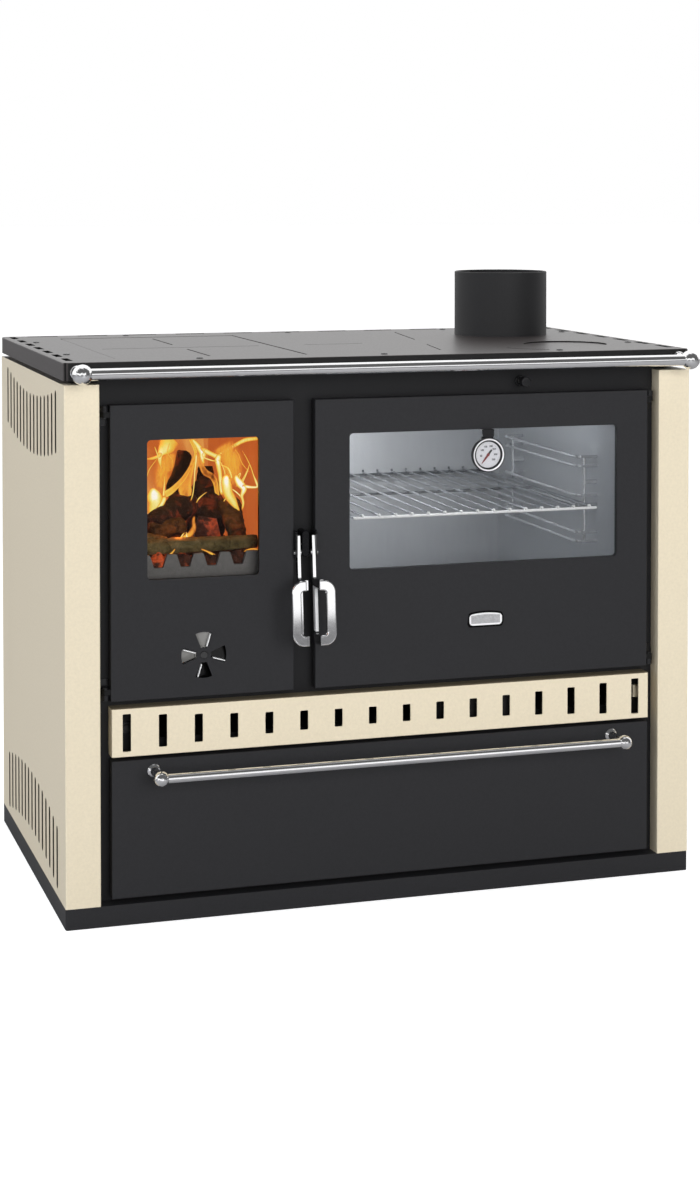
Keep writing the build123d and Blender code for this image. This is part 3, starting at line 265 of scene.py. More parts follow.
def painted_groove_shade(limit, pot=False):
    """painted shade: dark in slots and grooves, under the plate's face, away from its outer edge"""
    def f(nt, x, y, z):
        ax = math_node(nt, "ABSOLUTE", x)
        ay = math_node(nt, "ABSOLUTE", y)
        m = every(nt, math_node(nt, "LESS_THAN", z, limit), math_node(nt, "LESS_THAN", ax, 0.4985),
                  math_node(nt, "LESS_THAN", ay, 0.3018))
        if pot:
            dx_ = math_node(nt, "SUBTRACT", x, X(855))
            dy_ = math_node(nt, "SUBTRACT", y, Y(162))
            d2 = math_node(nt, "ADD", math_node(nt, "MULTIPLY", dx_, dx_), math_node(nt, "MULTIPLY", dy_, dy_))
            floor_ = every(nt, math_node(nt, "LESS_THAN", d2, 0.0676 ** 2), inside(nt, z, 0.8318, 0.8322))
            m = math_node(nt, "MULTIPLY", m, math_node(nt, "SUBTRACT", 1.0, floor_))
        return m
    return f


PLATE = (0.040, 0.0335, 0.033)
# painted shade: the worktop darker in its slots, grooves and the pot recess's walls, but not on the recess's floor
OWN["worktop"] = masked(powder("worktop_coat", PLATE, 0.38, 0.12, 500.0, 0.2, 0.5), painted_groove_shade(0.8337, True), (0.004, 0.004, 0.004), 0.9)
# painted shade: the worktop's front face darker, for how the light falls on it
def painted_front_shade(nt, x, y, z):
    return math_node(nt, "LESS_THAN", y, Y(0.35))


masked(OWN["worktop"], painted_front_shade, (0.009, 0.0088, 0.009), 0.6)
# painted shade: the hob plate's sides darker under its top face
OWN["hob_plate"] = masked(powder("hob_coat", PLATE, 0.38, 0.12, 500.0, 0.2, 0.5), painted_groove_shade(0.8325), (0.004, 0.004, 0.004), 0.9)


# painted shade: the slot walls and the panel's inner face made dark, as shade
def painted_slot_shade(nt, x, y, z):
    return every(nt, math_node(nt, "LESS_THAN", math_node(nt, "ABSOLUTE", x), 0.49985),
                 math_node(nt, "GREATER_THAN", y, -0.270))


for side in ("side_panel_left", "side_panel_right"):
    OWN[side] = masked(powder(side + "_coat", CREAM, 0.48, 0.035, 700.0, 0.55, 0.4), painted_slot_shade, (0.035, 0.026, 0.018))


# painted shade: the hinge ears, the window recess walls and the door's back face made dark, as shade
def door_painted_shade(nt, x, y, z):
    ear = math_node(nt, "GREATER_THAN", math_node(nt, "ABSOLUTE", x), 0.4312)
    wall = every(nt, math_node(nt, "GREATER_THAN", y, Y(6.7)), inside(nt, z, 0.5060, 0.7195),
                 either(nt, inside(nt, x, X(121.5), X(298.5)), inside(nt, x, X(434.4), X(881))))
    back = every(nt, math_node(nt, "GREATER_THAN", y, Y(9.5)), inside(nt, z, 0.335, 0.766),
                 either(nt, inside(nt, x, X(73), X(346)), inside(nt, x, X(387), X(927))))
    return either(nt, ear, wall, back)


for door in ("firebox_door_panel", "oven_door_panel"):
    OWN[door] = masked(powder(door + "_coat", (0.022, 0.022, 0.024), 0.55, 0.10, 900.0, 0.25, 0.35), door_painted_shade,
                       (0.003, 0.003, 0.003), 0.35)


# painted shade: the vent strip's top face darker, as the shadow under the door
def strip_top_shade(nt, x, y, z):
    return math_node(nt, "GREATER_THAN", z, 0.3212)


OWN["vent_strip"] = masked(powder("vent_strip_coat", CREAM, 0.48, 0.035, 700.0, 0.55, 0.4), strip_top_shade, (0.20, 0.165, 0.11))
OWN["casing_screws"] = powder("screw_black", (0.012, 0.012, 0.013), 0.3, 0.1, 900.0, 0.1, 0.6)
OWN["hinge_pins"] = powder("pin_black", (0.012, 0.012, 0.013), 0.3, 0.1, 900.0, 0.1, 0.6)
OWN["rosette_rivet"] = metal("rivet_steel", (0.10, 0.10, 0.10), 0.25, 0.04, None, 1.0, 0.08)
OWN["door_catch"] = powder("catch_gloss", (0.004, 0.004, 0.005), 0.26, 0.1, 700.0, 0.03, 0.18)


def plate_field(nt, x, y, z):
    dx_ = math_node(nt, "SUBTRACT", x, X(657.5))
    arch = math_node(nt, "MULTIPLY", math_node(nt, "MULTIPLY", dx_, dx_), -3.2)
    return every(nt, math_node(nt, "LESS_THAN", math_node(nt, "ABSOLUTE", dx_), 0.0238),
                 math_node(nt, "GREATER_THAN", z, 0.4150),
                 math_node(nt, "LESS_THAN", z, math_node(nt, "ADD", arch, 0.4290)))


# painted shade: the nameplate's sides and back made near black, as the shadow at its edge
def plate_side_shade(nt, x, y, z):
    return math_node(nt, "GREATER_THAN", y, Y(4.75))


OWN["nameplate_blank"] = masked(masked(metal("nameplate_steel", (0.99, 0.99, 1.0), 0.20, 0.03, (1, 1, 6), 0.08, 0.08),
                                       plate_field, (0.43, 0.43, 0.44), 0.45), plate_side_shade, (0.006, 0.006, 0.006))


# painted reflection: the right and bottom petals black, as if they mirrored the dark floor
def petal_shade():
    def f(nt, x, y, z):
        dx_ = math_node(nt, "SUBTRACT", x, X(209.9))
        dz_ = math_node(nt, "SUBTRACT", z, 0.3928)
        right = every(nt, math_node(nt, "GREATER_THAN", dx_, 0.008),
                      math_node(nt, "GREATER_THAN", dx_, math_node(nt, "ABSOLUTE", dz_)))
        low = every(nt, math_node(nt, "LESS_THAN", dz_, -0.008),
                    math_node(nt, "LESS_THAN", dz_, math_node(nt, "MULTIPLY", math_node(nt, "ABSOLUTE", dx_), -1.0)))
        return either(nt, right, low)
    return f


# painted highlight: the petals' front lips near white
def lip_highlight(nt, x, y, z):
    return math_node(nt, "LESS_THAN", y, Y(9.0))


OWN["air_rosette"] = masked(masked(metal("disc_blades", (0.33, 0.325, 0.31), 0.22, 0.05, None, 0.35, 0.08),
                                   petal_shade(), (0.004, 0.004, 0.004)), lip_highlight, (0.97, 0.97, 0.97))


# painted highlight: a strip of the oven lever's plate, turned matte white
def lever_strip_highlight(nt, x, y, z):
    return every(nt, inside(nt, x, X(375.4), X(380.6)), inside(nt, z, 0.4235, 0.4905))


# the optional mask makes the chrome non-metallic white there, a painted highlight
def lever_chrome(name, highlight_of=None):
    m = metal(name, (0.93, 0.93, 0.94), 0.042, 0.008, None, 1.0, 0.0)
    if highlight_of:
        nt_ = m.node_tree
        b_ = next(n for n in nt_.nodes if n.type == "BSDF_PRINCIPLED")
        x_, y_, z_ = axes(nt_)
        nt_.links.new(math_node(nt_, "SUBTRACT", 1.0, highlight_of(nt_, x_, y_, z_)), b_.inputs["Metallic"])
    return m


OWN["firebox_handle"] = lever_chrome("lever_chrome_left")
OWN["oven_handle"] = lever_chrome("lever_chrome_right", lever_strip_highlight)
OWN["log_guard"] = powder("guard_iron", (0.125, 0.12, 0.115), 0.7, 0.12, 350.0, 0.5, 0.3, 120.0)


# painted highlight: the rack's front bar and balls matte white instead of chrome
def rack_front_highlight(nt, x, y, z):
    return math_node(nt, "LESS_THAN", y, Y(46.4))


OWN["oven_rack"] = masked(metal("rack_plated", (0.55, 0.56, 0.58), 0.18, 0.04, None, 1.0, 0.05), rack_front_highlight, (1.0, 1.0, 1.0))
rnt = OWN["oven_rack"].node_tree
rb = next(n for n in rnt.nodes if n.type == "BSDF_PRINCIPLED")
rnt.links.new(math_node(rnt, "SUBTRACT", 1.0, rack_front_highlight(rnt, *axes(rnt))), rb.inputs["Metallic"])
OWN["oven_rack_guides"] = metal("guide_plated", (0.80, 0.81, 0.83), 0.18, 0.04, None, 0.78, 0.05)


def needle_tail(nt, x, y, z):
    dx_ = math_node(nt, "SUBTRACT", x, X(657.7))
    dz_ = math_node(nt, "SUBTRACT", z, 0.6776)
    return math_node(nt, "GREATER_THAN", math_node(nt, "ADD", dx_, math_node(nt, "MULTIPLY", dz_, 1.2)), 0.0035)


OWN["thermometer_needle"] = masked(powder("needle_coat", (0.16, 0.004, 0.004), 0.35, 0.05, 900.0, 0.02, 0.5), needle_tail,
                                   (0.006, 0.005, 0.005))


# painted shade: the bezel's inner cone wall dark; its outer rim and back are made dark as well
def case_shade_and_rim(nt, x, y, z):
    dx_ = math_node(nt, "SUBTRACT", x, X(657.7))
    dz_ = math_node(nt, "SUBTRACT", z, 0.6776)
    d2 = math_node(nt, "ADD", math_node(nt, "MULTIPLY", dx_, dx_), math_node(nt, "MULTIPLY", dz_, dz_))
    return either(nt, math_node(nt, "LESS_THAN", d2, 0.02275 ** 2), math_node(nt, "GREATER_THAN", d2, 0.02505 ** 2),
                  math_node(nt, "GREATER_THAN", y, Y(-5.9)))


OWN["thermometer_case"] = masked(metal("bezel_chrome", (0.97, 0.97, 0.98), 0.12, 0.03, None, 0.30, 0.03), case_shade_and_rim,
                                 (0.020, 0.020, 0.022), 0.35)


def fire_glass():
    m = glass_mat("fire_glass", (0.03, 0.03, 0.03), 0.05, 0.02)
    b = next(n for n in m.node_tree.nodes if n.type == "BSDF_PRINCIPLED")
    b.inputs["Specular IOR Level"].default_value = 0.3
    return m


OWN["firebox_door_glass"] = fire_glass()

slot_of = {s["node"]: s["material_slot"] for s in frame["record"]["subparts"]}
for name, ob in N.items():
    key = slot_of[name]
    ob.data.materials.clear()
    ob.data.materials.append(OWN.get(name, M[key]))
    for p in ob.data.polygons:
        p.use_smooth = False

# ---------------------------------------------------------------- fire behind the left window
EYE = Vector((-572.65, -3272.98, 1091.97))
EYE_F, EYE_V = 2252.88, 186.49
EYE_N, EYE_R = Vector((0.294566, 0.955631, 0.0)), Vector((0.955631, -0.294566, 0.0))


def at(cx, cy, y):
    """The point at depth y (mm from the front) seen at a place of the window's enlarged view."""
    u, v = 140.0 + cx / 9.797, 430.0 + cy / 9.8
    r = EYE_N + EYE_R * ((u - 350.0) / EYE_F) + Vector((0, 0, 1)) * ((EYE_V - v) / EYE_F)
    q = EYE + r * ((y - EYE.y) / r.y)
    return P(q.x, q.y, q.z)


def fire_clamp(v):
    return Vector((min(max(v.x, X(107.2)), X(306.8)), min(max(v.y, Y(46.5)), Y(418.5)), min(max(v.z, Z(488.0)), Z(737.0))))


def piece(name, verts, faces, mat, smooth=True, heat=None, body="root"):
    me_ = bpy.data.meshes.new(name)
    me_.from_pydata(verts, [], faces)
    me_.update()
    for p_ in me_.polygons:
        p_.use_smooth = smooth
    if heat is not None:
        a_ = me_.attributes.new("glow_level", "FLOAT", "POINT")
        a_.data.foreach_set("value", heat)
    me_.materials.append(mat)
    o_ = bpy.data.objects.new(name, me_)
    bpy.context.scene.collection.objects.link(o_)
    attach(o_, body)
    return o_


def flame_mat(name, stops, strength, a_lo, a_hi, a_max, wob=0.35, scale=90.0):
    m, nt, b = new_mat(name)
    v = coords(nt, (1, 1, 0.45))
    at_ = nt.nodes.new("ShaderNodeAttribute")
    at_.attribute_name = "glow_level"
    n1 = noise_tex(nt, v, scale, 4.0, 0.6, 1.2)
    h = math_node(nt, "ADD", at_.outputs["Fac"], math_node(nt, "MULTIPLY", math_node(nt, "SUBTRACT", n1, 0.5), wob))
    col = ramp(nt, h, stops)
    nt.links.new(col, b.inputs["Emission Color"])
    b.inputs["Emission Strength"].default_value = strength
    b.inputs["Base Color"].default_value = (0.02, 0.01, 0.005, 1)
    b.inputs["Roughness"].default_value = 1.0
    b.inputs["Specular IOR Level"].default_value = 0.0
    al = nt.nodes.new("ShaderNodeMapRange")
    al.interpolation_type = "SMOOTHSTEP"
    al.inputs["From Min"].default_value = a_lo
    al.inputs["From Max"].default_value = a_hi
    al.inputs["To Max"].default_value = a_max
    nt.links.new(h, al.inputs["Value"])
    nt.links.new(al.outputs[0], b.inputs["Alpha"])
    return m


FLAME = flame_mat("flame", [(0.0, (0.66, 0.13, 0.02)), (0.28, (0.80, 0.24, 0.035)), (0.48, (0.88, 0.45, 0.05)),
                            (0.68, (0.86, 0.68, 0.11)), (0.90, (0.98, 0.90, 0.38)), (1.1, (1.0, 0.99, 0.86))],
                  1.0, 0.06, 0.42, 0.97)
# painted light: the glowing sheet over the back and right firebox wall
WALL_FIRELIGHT = flame_mat("painted_wall_firelight", [(0.0, (0.44, 0.066, 0.014)), (0.35, (0.54, 0.125, 0.024)), (0.6, (0.66, 0.22, 0.05)),
                                (0.85, (0.82, 0.40, 0.09)), (1.0, (0.92, 0.60, 0.20))], 1.0, -1.0, -0.9, 1.0, 0.5, 40.0)


def smooth_line(pts, n):
    """points of a smooth curve through rows of numbers"""
    out_ = []
    k = len(pts) - 1
    for i in range(n + 1):
        t = i / n * k
        j = min(int(t), k - 1)
        f = t - j
        a = pts[max(j - 1, 0)]
        b_ = pts[j]
        c = pts[j + 1]
        d = pts[min(j + 2, k)]
        out_.append(tuple(0.5 * ((2 * q1) + (-q0 + q2) * f + (2 * q0 - 5 * q1 + 4 * q2 - q3) * f * f
                                 + (-q0 + 3 * q1 - 3 * q2 + q3) * f ** 3)
                          for q0, q1, q2, q3 in zip(a, b_, c, d)))
    return out_


def flame(name, line, depth, bulge=6.0, rim=0.0, wobble=3.0, across=12):
    """A curved sheet of flame. line: (cx, cy, half width, heat) from the root to the tip."""
    rows = smooth_line(line, 10 * (len(line) - 1))
    verts, heat, faces = [], [], []
    n = len(rows)
    seed = sum(ord(ch) for ch in name)
    for i, (cx, cy, hw, ht) in enumerate(rows):
        j0, j1 = max(i - 1, 0), min(i + 1, n - 1)
        tx, ty = rows[j1][0] - rows[j0][0], rows[j1][1] - rows[j0][1]
        ln = math.hypot(tx, ty) or 1.0
        nx, ny = -ty / ln, tx / ln
        s_ = i / (n - 1)
        ends = min(1.0, s_ / 0.10) * min(1.0, (1 - s_) / 0.12)
        for k in range(across + 1):
            t = 2 * k / across - 1
            w_ = noise.noise(Vector((cx * 0.012, cy * 0.012, seed + t * 0.6))) * wobble * (0.4 + hw / 30.0)
            px_, py_ = cx + nx * (t * max(hw, 1.0) + w_), cy + ny * (t * max(hw, 1.0) + w_)
            dd = depth - bulge * (1 - t * t) + 3.0 * noise.noise(Vector((cx * 0.02, cy * 0.02, seed)))
            if px_ > 784:
                dd = min(dd, 290 - (px_ - 784) * 0.645)
            verts.append(fire_clamp(at(px_, py_, dd)))
            prof = (1 - abs(t) ** 2.2)
            edge = (0.45 + 0.75 * abs(t) ** 2.5) if rim else 1.0
            if rim:
                prof = min(1.0, (1 - abs(t)) / 0.22)
                edge = (1 - rim) + rim * abs(t) ** 2
            heat.append(ht * prof * edge * ends)
    for i in range(n - 1):
        for k in range(across):
            a = i * (across + 1) + k
            faces.append((a, a + 1, a + across + 2, a + across + 1))
    o_ = piece(name, verts, faces, FLAME, True, heat)
    o_.visible_shadow = False
    return o_


def bark_mat(name, dark, light, crack=None, glow=0.0, scale=(60.0, 60.0, 60.0)):
    m, nt, b = new_mat(name)
    v = coords(nt, (1, 1, 1))
    f = noise_tex(nt, v, 130.0, 6.0, 0.7, 0.6)
    g = noise_tex(nt, v, 38.0, 3.0, 0.6, 0.3)
    h = math_node(nt, "ADD", math_node(nt, "MULTIPLY", f, 0.6), math_node(nt, "MULTIPLY", g, 0.4))
    nt.links.new(ramp(nt, h, [(0.36, dark), (0.50, tuple(0.5 * (a + c) for a, c in zip(dark, light))), (0.64, light)]),
                 b.inputs["Base Color"])
    b.inputs["Roughness"].default_value = 0.9
    b.inputs["Specular IOR Level"].default_value = 0.2
    bump(nt, b, f, 0.8, 0.002)
    if crack:
        e = ramp(nt, g, [(0.52, (0, 0, 0)), (0.60, crack), (0.66, tuple(min(1, 2 * c) for c in crack)), (0.74, (0, 0, 0))])
        nt.links.new(e, b.inputs["Emission Color"])
        b.inputs["Emission Strength"].default_value = glow
    return m


BARK = bark_mat("bark", (0.012, 0.008, 0.004), (0.17, 0.105, 0.035))
CHAR = bark_mat("charred_wood", (0.004, 0.003, 0.003), (0.030, 0.017, 0.012), (0.10, 0.010, 0.002), 0.6)
WEDGE = bark_mat("split_end", (0.008, 0.004, 0.004), (0.060, 0.026, 0.018), (0.25, 0.03, 0.006), 0.7)
BURNT = bark_mat("burnt_bark", (0.004, 0.003, 0.002), (0.085, 0.048, 0.016), (0.10, 0.010, 0.002), 0.4)
GREEN = bark_mat("mossy_bark", (0.020, 0.016, 0.005), (0.16, 0.115, 0.045))
EMBER = bark_mat("ember_bed", (0.008, 0.004, 0.003), (0.10, 0.035, 0.020), (0.42, 0.055, 0.010), 0.55)


def log(name, a, b_, ra, rb, mat, seed=0, rough=0.16, ridge=0.08, sides=30, rings=36, flat=1.0):
    """A log from point a to point b, its radii in mm."""
    ax_ = (b_ - a)
    L_ = ax_.length
    d = ax_.normalized()
    u_ = d.orthogonal().normalized()
    w_ = d.cross(u_)
    verts, faces = [], []
    for i in range(rings + 1):
        t = i / rings
        c = a + ax_ * t + (u_ * noise.noise(Vector((t * 2.2, seed, 0))) + w_ * noise.noise(Vector((t * 2.2, seed, 7)))) * 0.004
        r0 = (ra + (rb - ra) * t) / 1000.0
        endf = 1.0 if 0 < i < rings else 0.92
        for k in range(sides):
            an = 2 * math.pi * k / sides
            q = Vector((math.cos(an) * 1.6, math.sin(an) * 1.6, t * L_ * 30 + seed * 3.7))
            n1 = noise.noise(q) * rough
            n2 = abs(noise.noise(Vector((math.cos(an) * 6, math.sin(an) * 6, t * L_ * 18 + seed)))) * ridge
            n3 = noise.noise(Vector((math.cos(an) * 9, math.sin(an) * 9, t * L_ * 160 + seed))) * ridge * 0.7
            rr = r0 * (1 + n1 - n2 + n3) * endf
            verts.append(fire_clamp(c + (u_ * math.cos(an) + w_ * math.sin(an) * flat) * rr))
    for i in range(rings):
        for k in range(sides):
            k2 = (k + 1) % sides
            faces.append((i * sides + k, i * sides + k2, (i + 1) * sides + k2, (i + 1) * sides + k))
    for e, ring in ((a, 0), (b_, rings)):
        ci = len(verts)
        verts.append(fire_clamp(e))
        for k in range(sides):
            k2 = (k + 1) % sides
            faces.append((ci, ring * sides + k2, ring * sides + k) if ring == 0 else (ci, ring * sides + k, ring * sides + k2))
    return piece(name, [tuple(v) for v in verts], faces, mat)


# bed of embers and charcoal on the grate, up to the logs
bv, bf = [], []
NX, NY = 70, 120
for j in range(NY + 1):
    for i in range(NX + 1):
        x_, y_ = 107.4 + 199.0 * i / NX, 46.8 + 371.0 * j / NY
        e_ = min(1.0, min(i, NX - i) / 5.0)
        h_ = 531 + 9 * noise.noise(Vector((x_ * 0.05, y_ * 0.05, 3))) + 6 * noise.noise(Vector((x_ * 0.16, y_ * 0.16, 9))) \
            + 3 * noise.noise(Vector((x_ * 0.4, y_ * 0.4, 5)))
        h_ += 9 * math.exp(-((y_ - 120) / 60.0) ** 2)
        bv.append(P(x_, y_, h_ - 6 * (1 - e_)))
top_n = len(bv)
for j in range(NY + 1):
    for i in range(NX + 1):
        bv.append(P(107.4 + 199.0 * i / NX, 46.8 + 371.0 * j / NY, 487.6))
for j in range(NY):
    for i in range(NX):
        a = j * (NX + 1) + i
        bf.append((a, a + 1, a + NX + 2, a + NX + 1))
        bf.append((top_n + a, top_n + a + NX + 1, top_n + a + NX + 2, top_n + a + 1))
for j in range(NY):
    a, c = j * (NX + 1), (j + 1) * (NX + 1)
    bf.append((a, c, top_n + c, top_n + a))
    bf.append((a + NX, top_n + a + NX, top_n + c + NX, c + NX))
for i in range(NX):
    a, c = i, NY * (NX + 1) + i
    bf.append((a, top_n + a, top_n + a + 1, a + 1))
    bf.append((c, c + 1, top_n + c + 1, top_n + c))
piece("ember_bed", bv, bf, EMBER)

# logs: one across the front, a split one end-on in the middle, two leaning ones, two behind
log("log_front", P(108.5, 62, 549), P(305.5, 60, 551), 12.5, 10.5, GREEN, 3, 0.12, 0.10)
log("log_front_left", P(109, 66, 560), P(168, 74, 551), 15, 11, BARK, 8, 0.18, 0.12)
log("log_left", at(120, 985, 105), at(470, 700, 190), 22, 21, CHAR, 5, 0.16, 0.10)
log("log_left_bark", at(110, 1000, 92), at(420, 930, 110), 15, 13, BURNT, 15, 0.22, 0.14)
log("log_middle", at(690, 980, 170), at(655, 520, 250), 27, 21, CHAR, 21, 0.14, 0.10)
log("log_middle_top", at(655, 620, 255), at(650, 350, 262), 17, 12, CHAR, 27, 0.2, 0.10)
log("log_back", at(330, 640, 250), at(440, 235, 300), 11, 13, CHAR, 31, 0.2, 0.10)
log("log_right", at(865, 720, 150), at(965, 1010, 92), 18, 15, BURNT, 41, 0.2, 0.14)
log("log_wedge", at(655, 965, 84), at(640, 985, 200), 23, 22, WEDGE, 51, 0.10, 0.05, 5, 30)
log("log_between", at(520, 1000, 150), at(500, 560, 235), 9, 5, CHAR, 61, 0.2, 0.10)

# painted firelight: an opaque glowing sheet in front of the bricks stands for the fire's light on the back and right
# wall
gv, gh, gf = [], [], []
GN, GM = 60, 40
path = [(107.6, 412.0), (200.0, 414.0), (270.0, 411.0), (300.0, 396.0), (305.8, 350.0), (306.2, 200.0), (306.2, 52.0)]
for i, (gx, gy) in enumerate(smooth_line(path, GN)):
    for j in range(GM + 1):
        gz = 489.0 + 247.0 * j / GM
        gv.append(fire_clamp(P(gx, gy, gz)))
        gh.append(0.50 + 0.22 * math.sin(gx * 0.05 + gz * 0.018) * (1 if i < GN * 0.55 else 0.3) - (0.30 if i > GN * 0.62 else 0.0))
for i in range(GN):
    for j in range(GM):
        a = i * (GM + 1) + j
        gf.append((a, a + GM + 1, a + GM + 2, a + 1))
piece("back_wall_firelight", gv, gf, WALL_FIRELIGHT, True, gh)

flame("flame_swirl", [(222, 352, 8, .5), (205, 300, 22, .8), (212, 230, 34, .95), (262, 165, 95, .80), (300, 100, 120, .62), (330, 60, 130, .5)], 330, 8)
flame("flame_swirl_left", [(70, 280, 12, .4), (130, 272, 20, .6), (195, 250, 22, .7), (215, 215, 18, .6)], 322, 5)
flame("flame_haze_left", [(200, 640, 60, .25), (230, 520, 110, .38), (230, 400, 120, .42), (280, 300, 120, .40), (340, 180, 110, .35)], 345, 10)
flame("flame_haze_right", [(880, 560, 90, .30), (900, 430, 140, .42), (900, 320, 150, .46), (850, 210, 150, .44), (800, 120, 150, .34)], 300, 10)
flame("flame_left", [(104, 880, 14, .40), (130, 800, 58, .62), (160, 710, 84, .86), (150, 640, 84, 1.06), (145, 590, 52, .95), (152, 560, 14, .6)], 150, 8)
flame("flame_left_spike", [(238, 650, 16, .8), (242, 580, 12, .8), (246, 500, 8, .7), (250, 430, 4, .5)], 152, 3)
flame("flame_left_low", [(86, 860, 8, .6), (120, 820, 12, .8), (190, 760, 22, .85), (232, 700, 28, .9), (250, 640, 24, .9)], 140, 4)
flame("flame_sweep", [(232, 640, 30, .9), (300, 598, 34, .80), (365, 545, 32, .66), (425, 480, 26, .60), (478, 400, 20, .56), (515, 320, 14, .5)], 160, 5, 0.35)
flame("flame_body", [(488, 735, 10, .5), (470, 660, 42, .62), (448, 580, 74, .62), (470, 480, 52, .6), (508, 370, 30, .62), (540, 280, 20, .7), (552, 220, 16, .8), (536, 160, 18, .85), (505, 95, 16, .8), (490, 60, 12, .7)], 170, 6, 0.45)
flame("flame_rim", [(500, 700, 6, .5), (524, 620, 7, .8), (536, 520, 7, .8), (544, 400, 8, .85), (556, 290, 10, .9), (560, 215, 9, .85)], 162, 2)
flame("flame_top", [(640, 335, 12, .5), (618, 285, 28, .85), (622, 225, 42, 1.0), (592, 175, 36, .95), (552, 120, 22, .9), (510, 80, 14, .8)], 300, 5)
flame("flame_top_right", [(590, 160, 14, .7), (650, 200, 26, .8), (710, 230, 26, .78), (775, 252, 28, .85), (835, 205, 22, .78), (920, 155, 22, .75), (1030, 98, 26, .8), (1130, 80, 22, .7), (1190, 78, 18, .6)], 295, 4)
flame("flame_column", [(812, 640, 22, .85), (800, 540, 26, .9), (792, 440, 26, .85), (775, 350, 30, .9), (770, 280, 34, .95), (800, 225, 20, .8)], 180, 5)
flame("flame_right", [(985, 800, 10, .5), (945, 745, 30, .72), (905, 680, 52, .78), (868, 600, 60, .86), (850, 520, 58, 1.02), (852, 465, 44, 1.12), (880, 440, 16, .9)], 120, 7)
flame("flame_right_b", [(1000, 790, 10, .6), (1016, 710, 14, .8), (1002, 640, 20, .85), (1020, 575, 34, 1.05), (985, 520, 44, 1.15), (952, 470, 30, 1.0), (950, 425, 16, .8)], 116, 5)
flame("flame_right_tip", [(1000, 540, 20, 1.0), (1060, 552, 18, 1.0), (1120, 556, 14, .95), (1152, 548, 12, .9), (1140, 500, 14, .85), (1116, 440, 7, .75), (1086, 350, 6, .7), (1040, 255, 5, .62), (985, 165, 5, .5)], 112, 2, 0, 1.5)
flame("flame_right_thread", [(1000, 520, 8, .8), (1035, 450, 8, .8), (1062, 380, 6, .7), (1078, 320, 4, .5)], 114, 2, 0, 1.5)
flame("flame_right_arch", [(905, 480, 10, .8), (892, 420, 14, .8), (868, 370, 16, .7), (820, 345, 14, .6), (790, 340, 10, .5)], 130, 3)
flame("flame_log_fringe", [(858, 862, 5, .4), (825, 780, 14, .62), (790, 700, 18, .72), (762, 620, 20, .70), (748, 520, 26, .66), (712, 450, 34, .42), (648, 410, 36, .42), (606, 330, 26, .52), (584, 250, 14, .68), (572, 190, 8, .6)], 205, 4, 0.5)
for k_, ln_ in enumerate((
        [(765, 285, 3, .5), (800, 318, 5, .8), (838, 435, 5, .75), (805, 553, 4, .5)],
        [(655, 168, 4, .5), (620, 250, 8, .8), (700, 290, 9, .85), (760, 300, 5, .6)],
        [(938, 470, 4, .6), (988, 418, 6, .85), (965, 500, 5, .7)],
        [(1070, 352, 3, .5), (1005, 486, 6, .8), (938, 553, 5, .7)],
        [(76, 470, 3, .5), (100, 385, 5, .7), (184, 268, 4, .5)],
        [(822, 700, 5, .6), (850, 655, 8, .9), (880, 620, 6, .9), (905, 690, 5, .7)],
        [(930, 180, 4, .45), (968, 230, 5, .6), (1010, 330, 5, .55), (1090, 420, 4, .5)],
        [(300, 120, 4, .45), (280, 220, 6, .6), (330, 300, 6, .55), (310, 420, 4, .4)],
        [(150, 150, 4, .5), (180, 230, 7, .8), (205, 330, 6, .75), (232, 372, 3, .5)],
        [(880, 560, 5, .7), (930, 590, 8, .95), (985, 640, 8, .9), (1010, 700, 5, .6)])):
    flame("flame_web_%d" % k_, ln_, 128 if k_ not in (4, 7, 8) else 300, 2, 0, 2.0, 6)
flame("flame_log_streak", [(556, 712, 4, .5), (580, 670, 8, .8), (620, 632, 6, .7), (665, 600, 4, .5)], 158, 1, 0, 1.0)
flame("flame_core", [(395, 1070, 12, .7), (440, 1045, 26, .62), (500, 1010, 34, .42), (530, 950, 28, .36), (528, 880, 18, .36), (540, 830, 8, .4)], 82, 4)
flame("flame_core_a", [(395, 1065, 7, .8), (420, 1025, 8, .9), (440, 1000, 4, .5)], 78, 1, 0, 1.0)
flame("flame_core_b", [(470, 1065, 7, .8), (462, 1030, 10, 1.0), (458, 995, 5, .6)], 78, 1, 0, 1.0)
flame("flame_edge_left", [(82, 1010, 6, .6), (120, 1030, 8, .75), (165, 1055, 5, .5)], 76, 1, 0, 1.0)
flame("flame_notch_left", [(165, 1325, 6, .35), (210, 1290, 11, .50), (270, 1240, 12, .56), (320, 1195, 10, .55), (352, 1155, 6, .45)], 50, 1, 0, 2.0)
flame("flame_notch_mid", [(596, 1160, 6, .40), (650, 1180, 12, .50), (710, 1210, 16, .55), (775, 1245, 9, .4)], 50, 1, 0, 2.0)
flame("flame_notch_right", [(1000, 1215, 6, .35), (1040, 1175, 9, .46), (1110, 1160, 9, .48), (1165, 1180, 8, .46), (1172, 1250, 8, .5), (1172, 1285, 5, .45)], 50, 1, 0, 2.0)


# plain scale numbers on the thermometer's dial, printed dark grey
INK = powder("dial_ink", (0.010, 0.010, 0.012), 0.6, 0.1, 900.0, 0.02, 0.3)
DIAL_FACE = -3.6


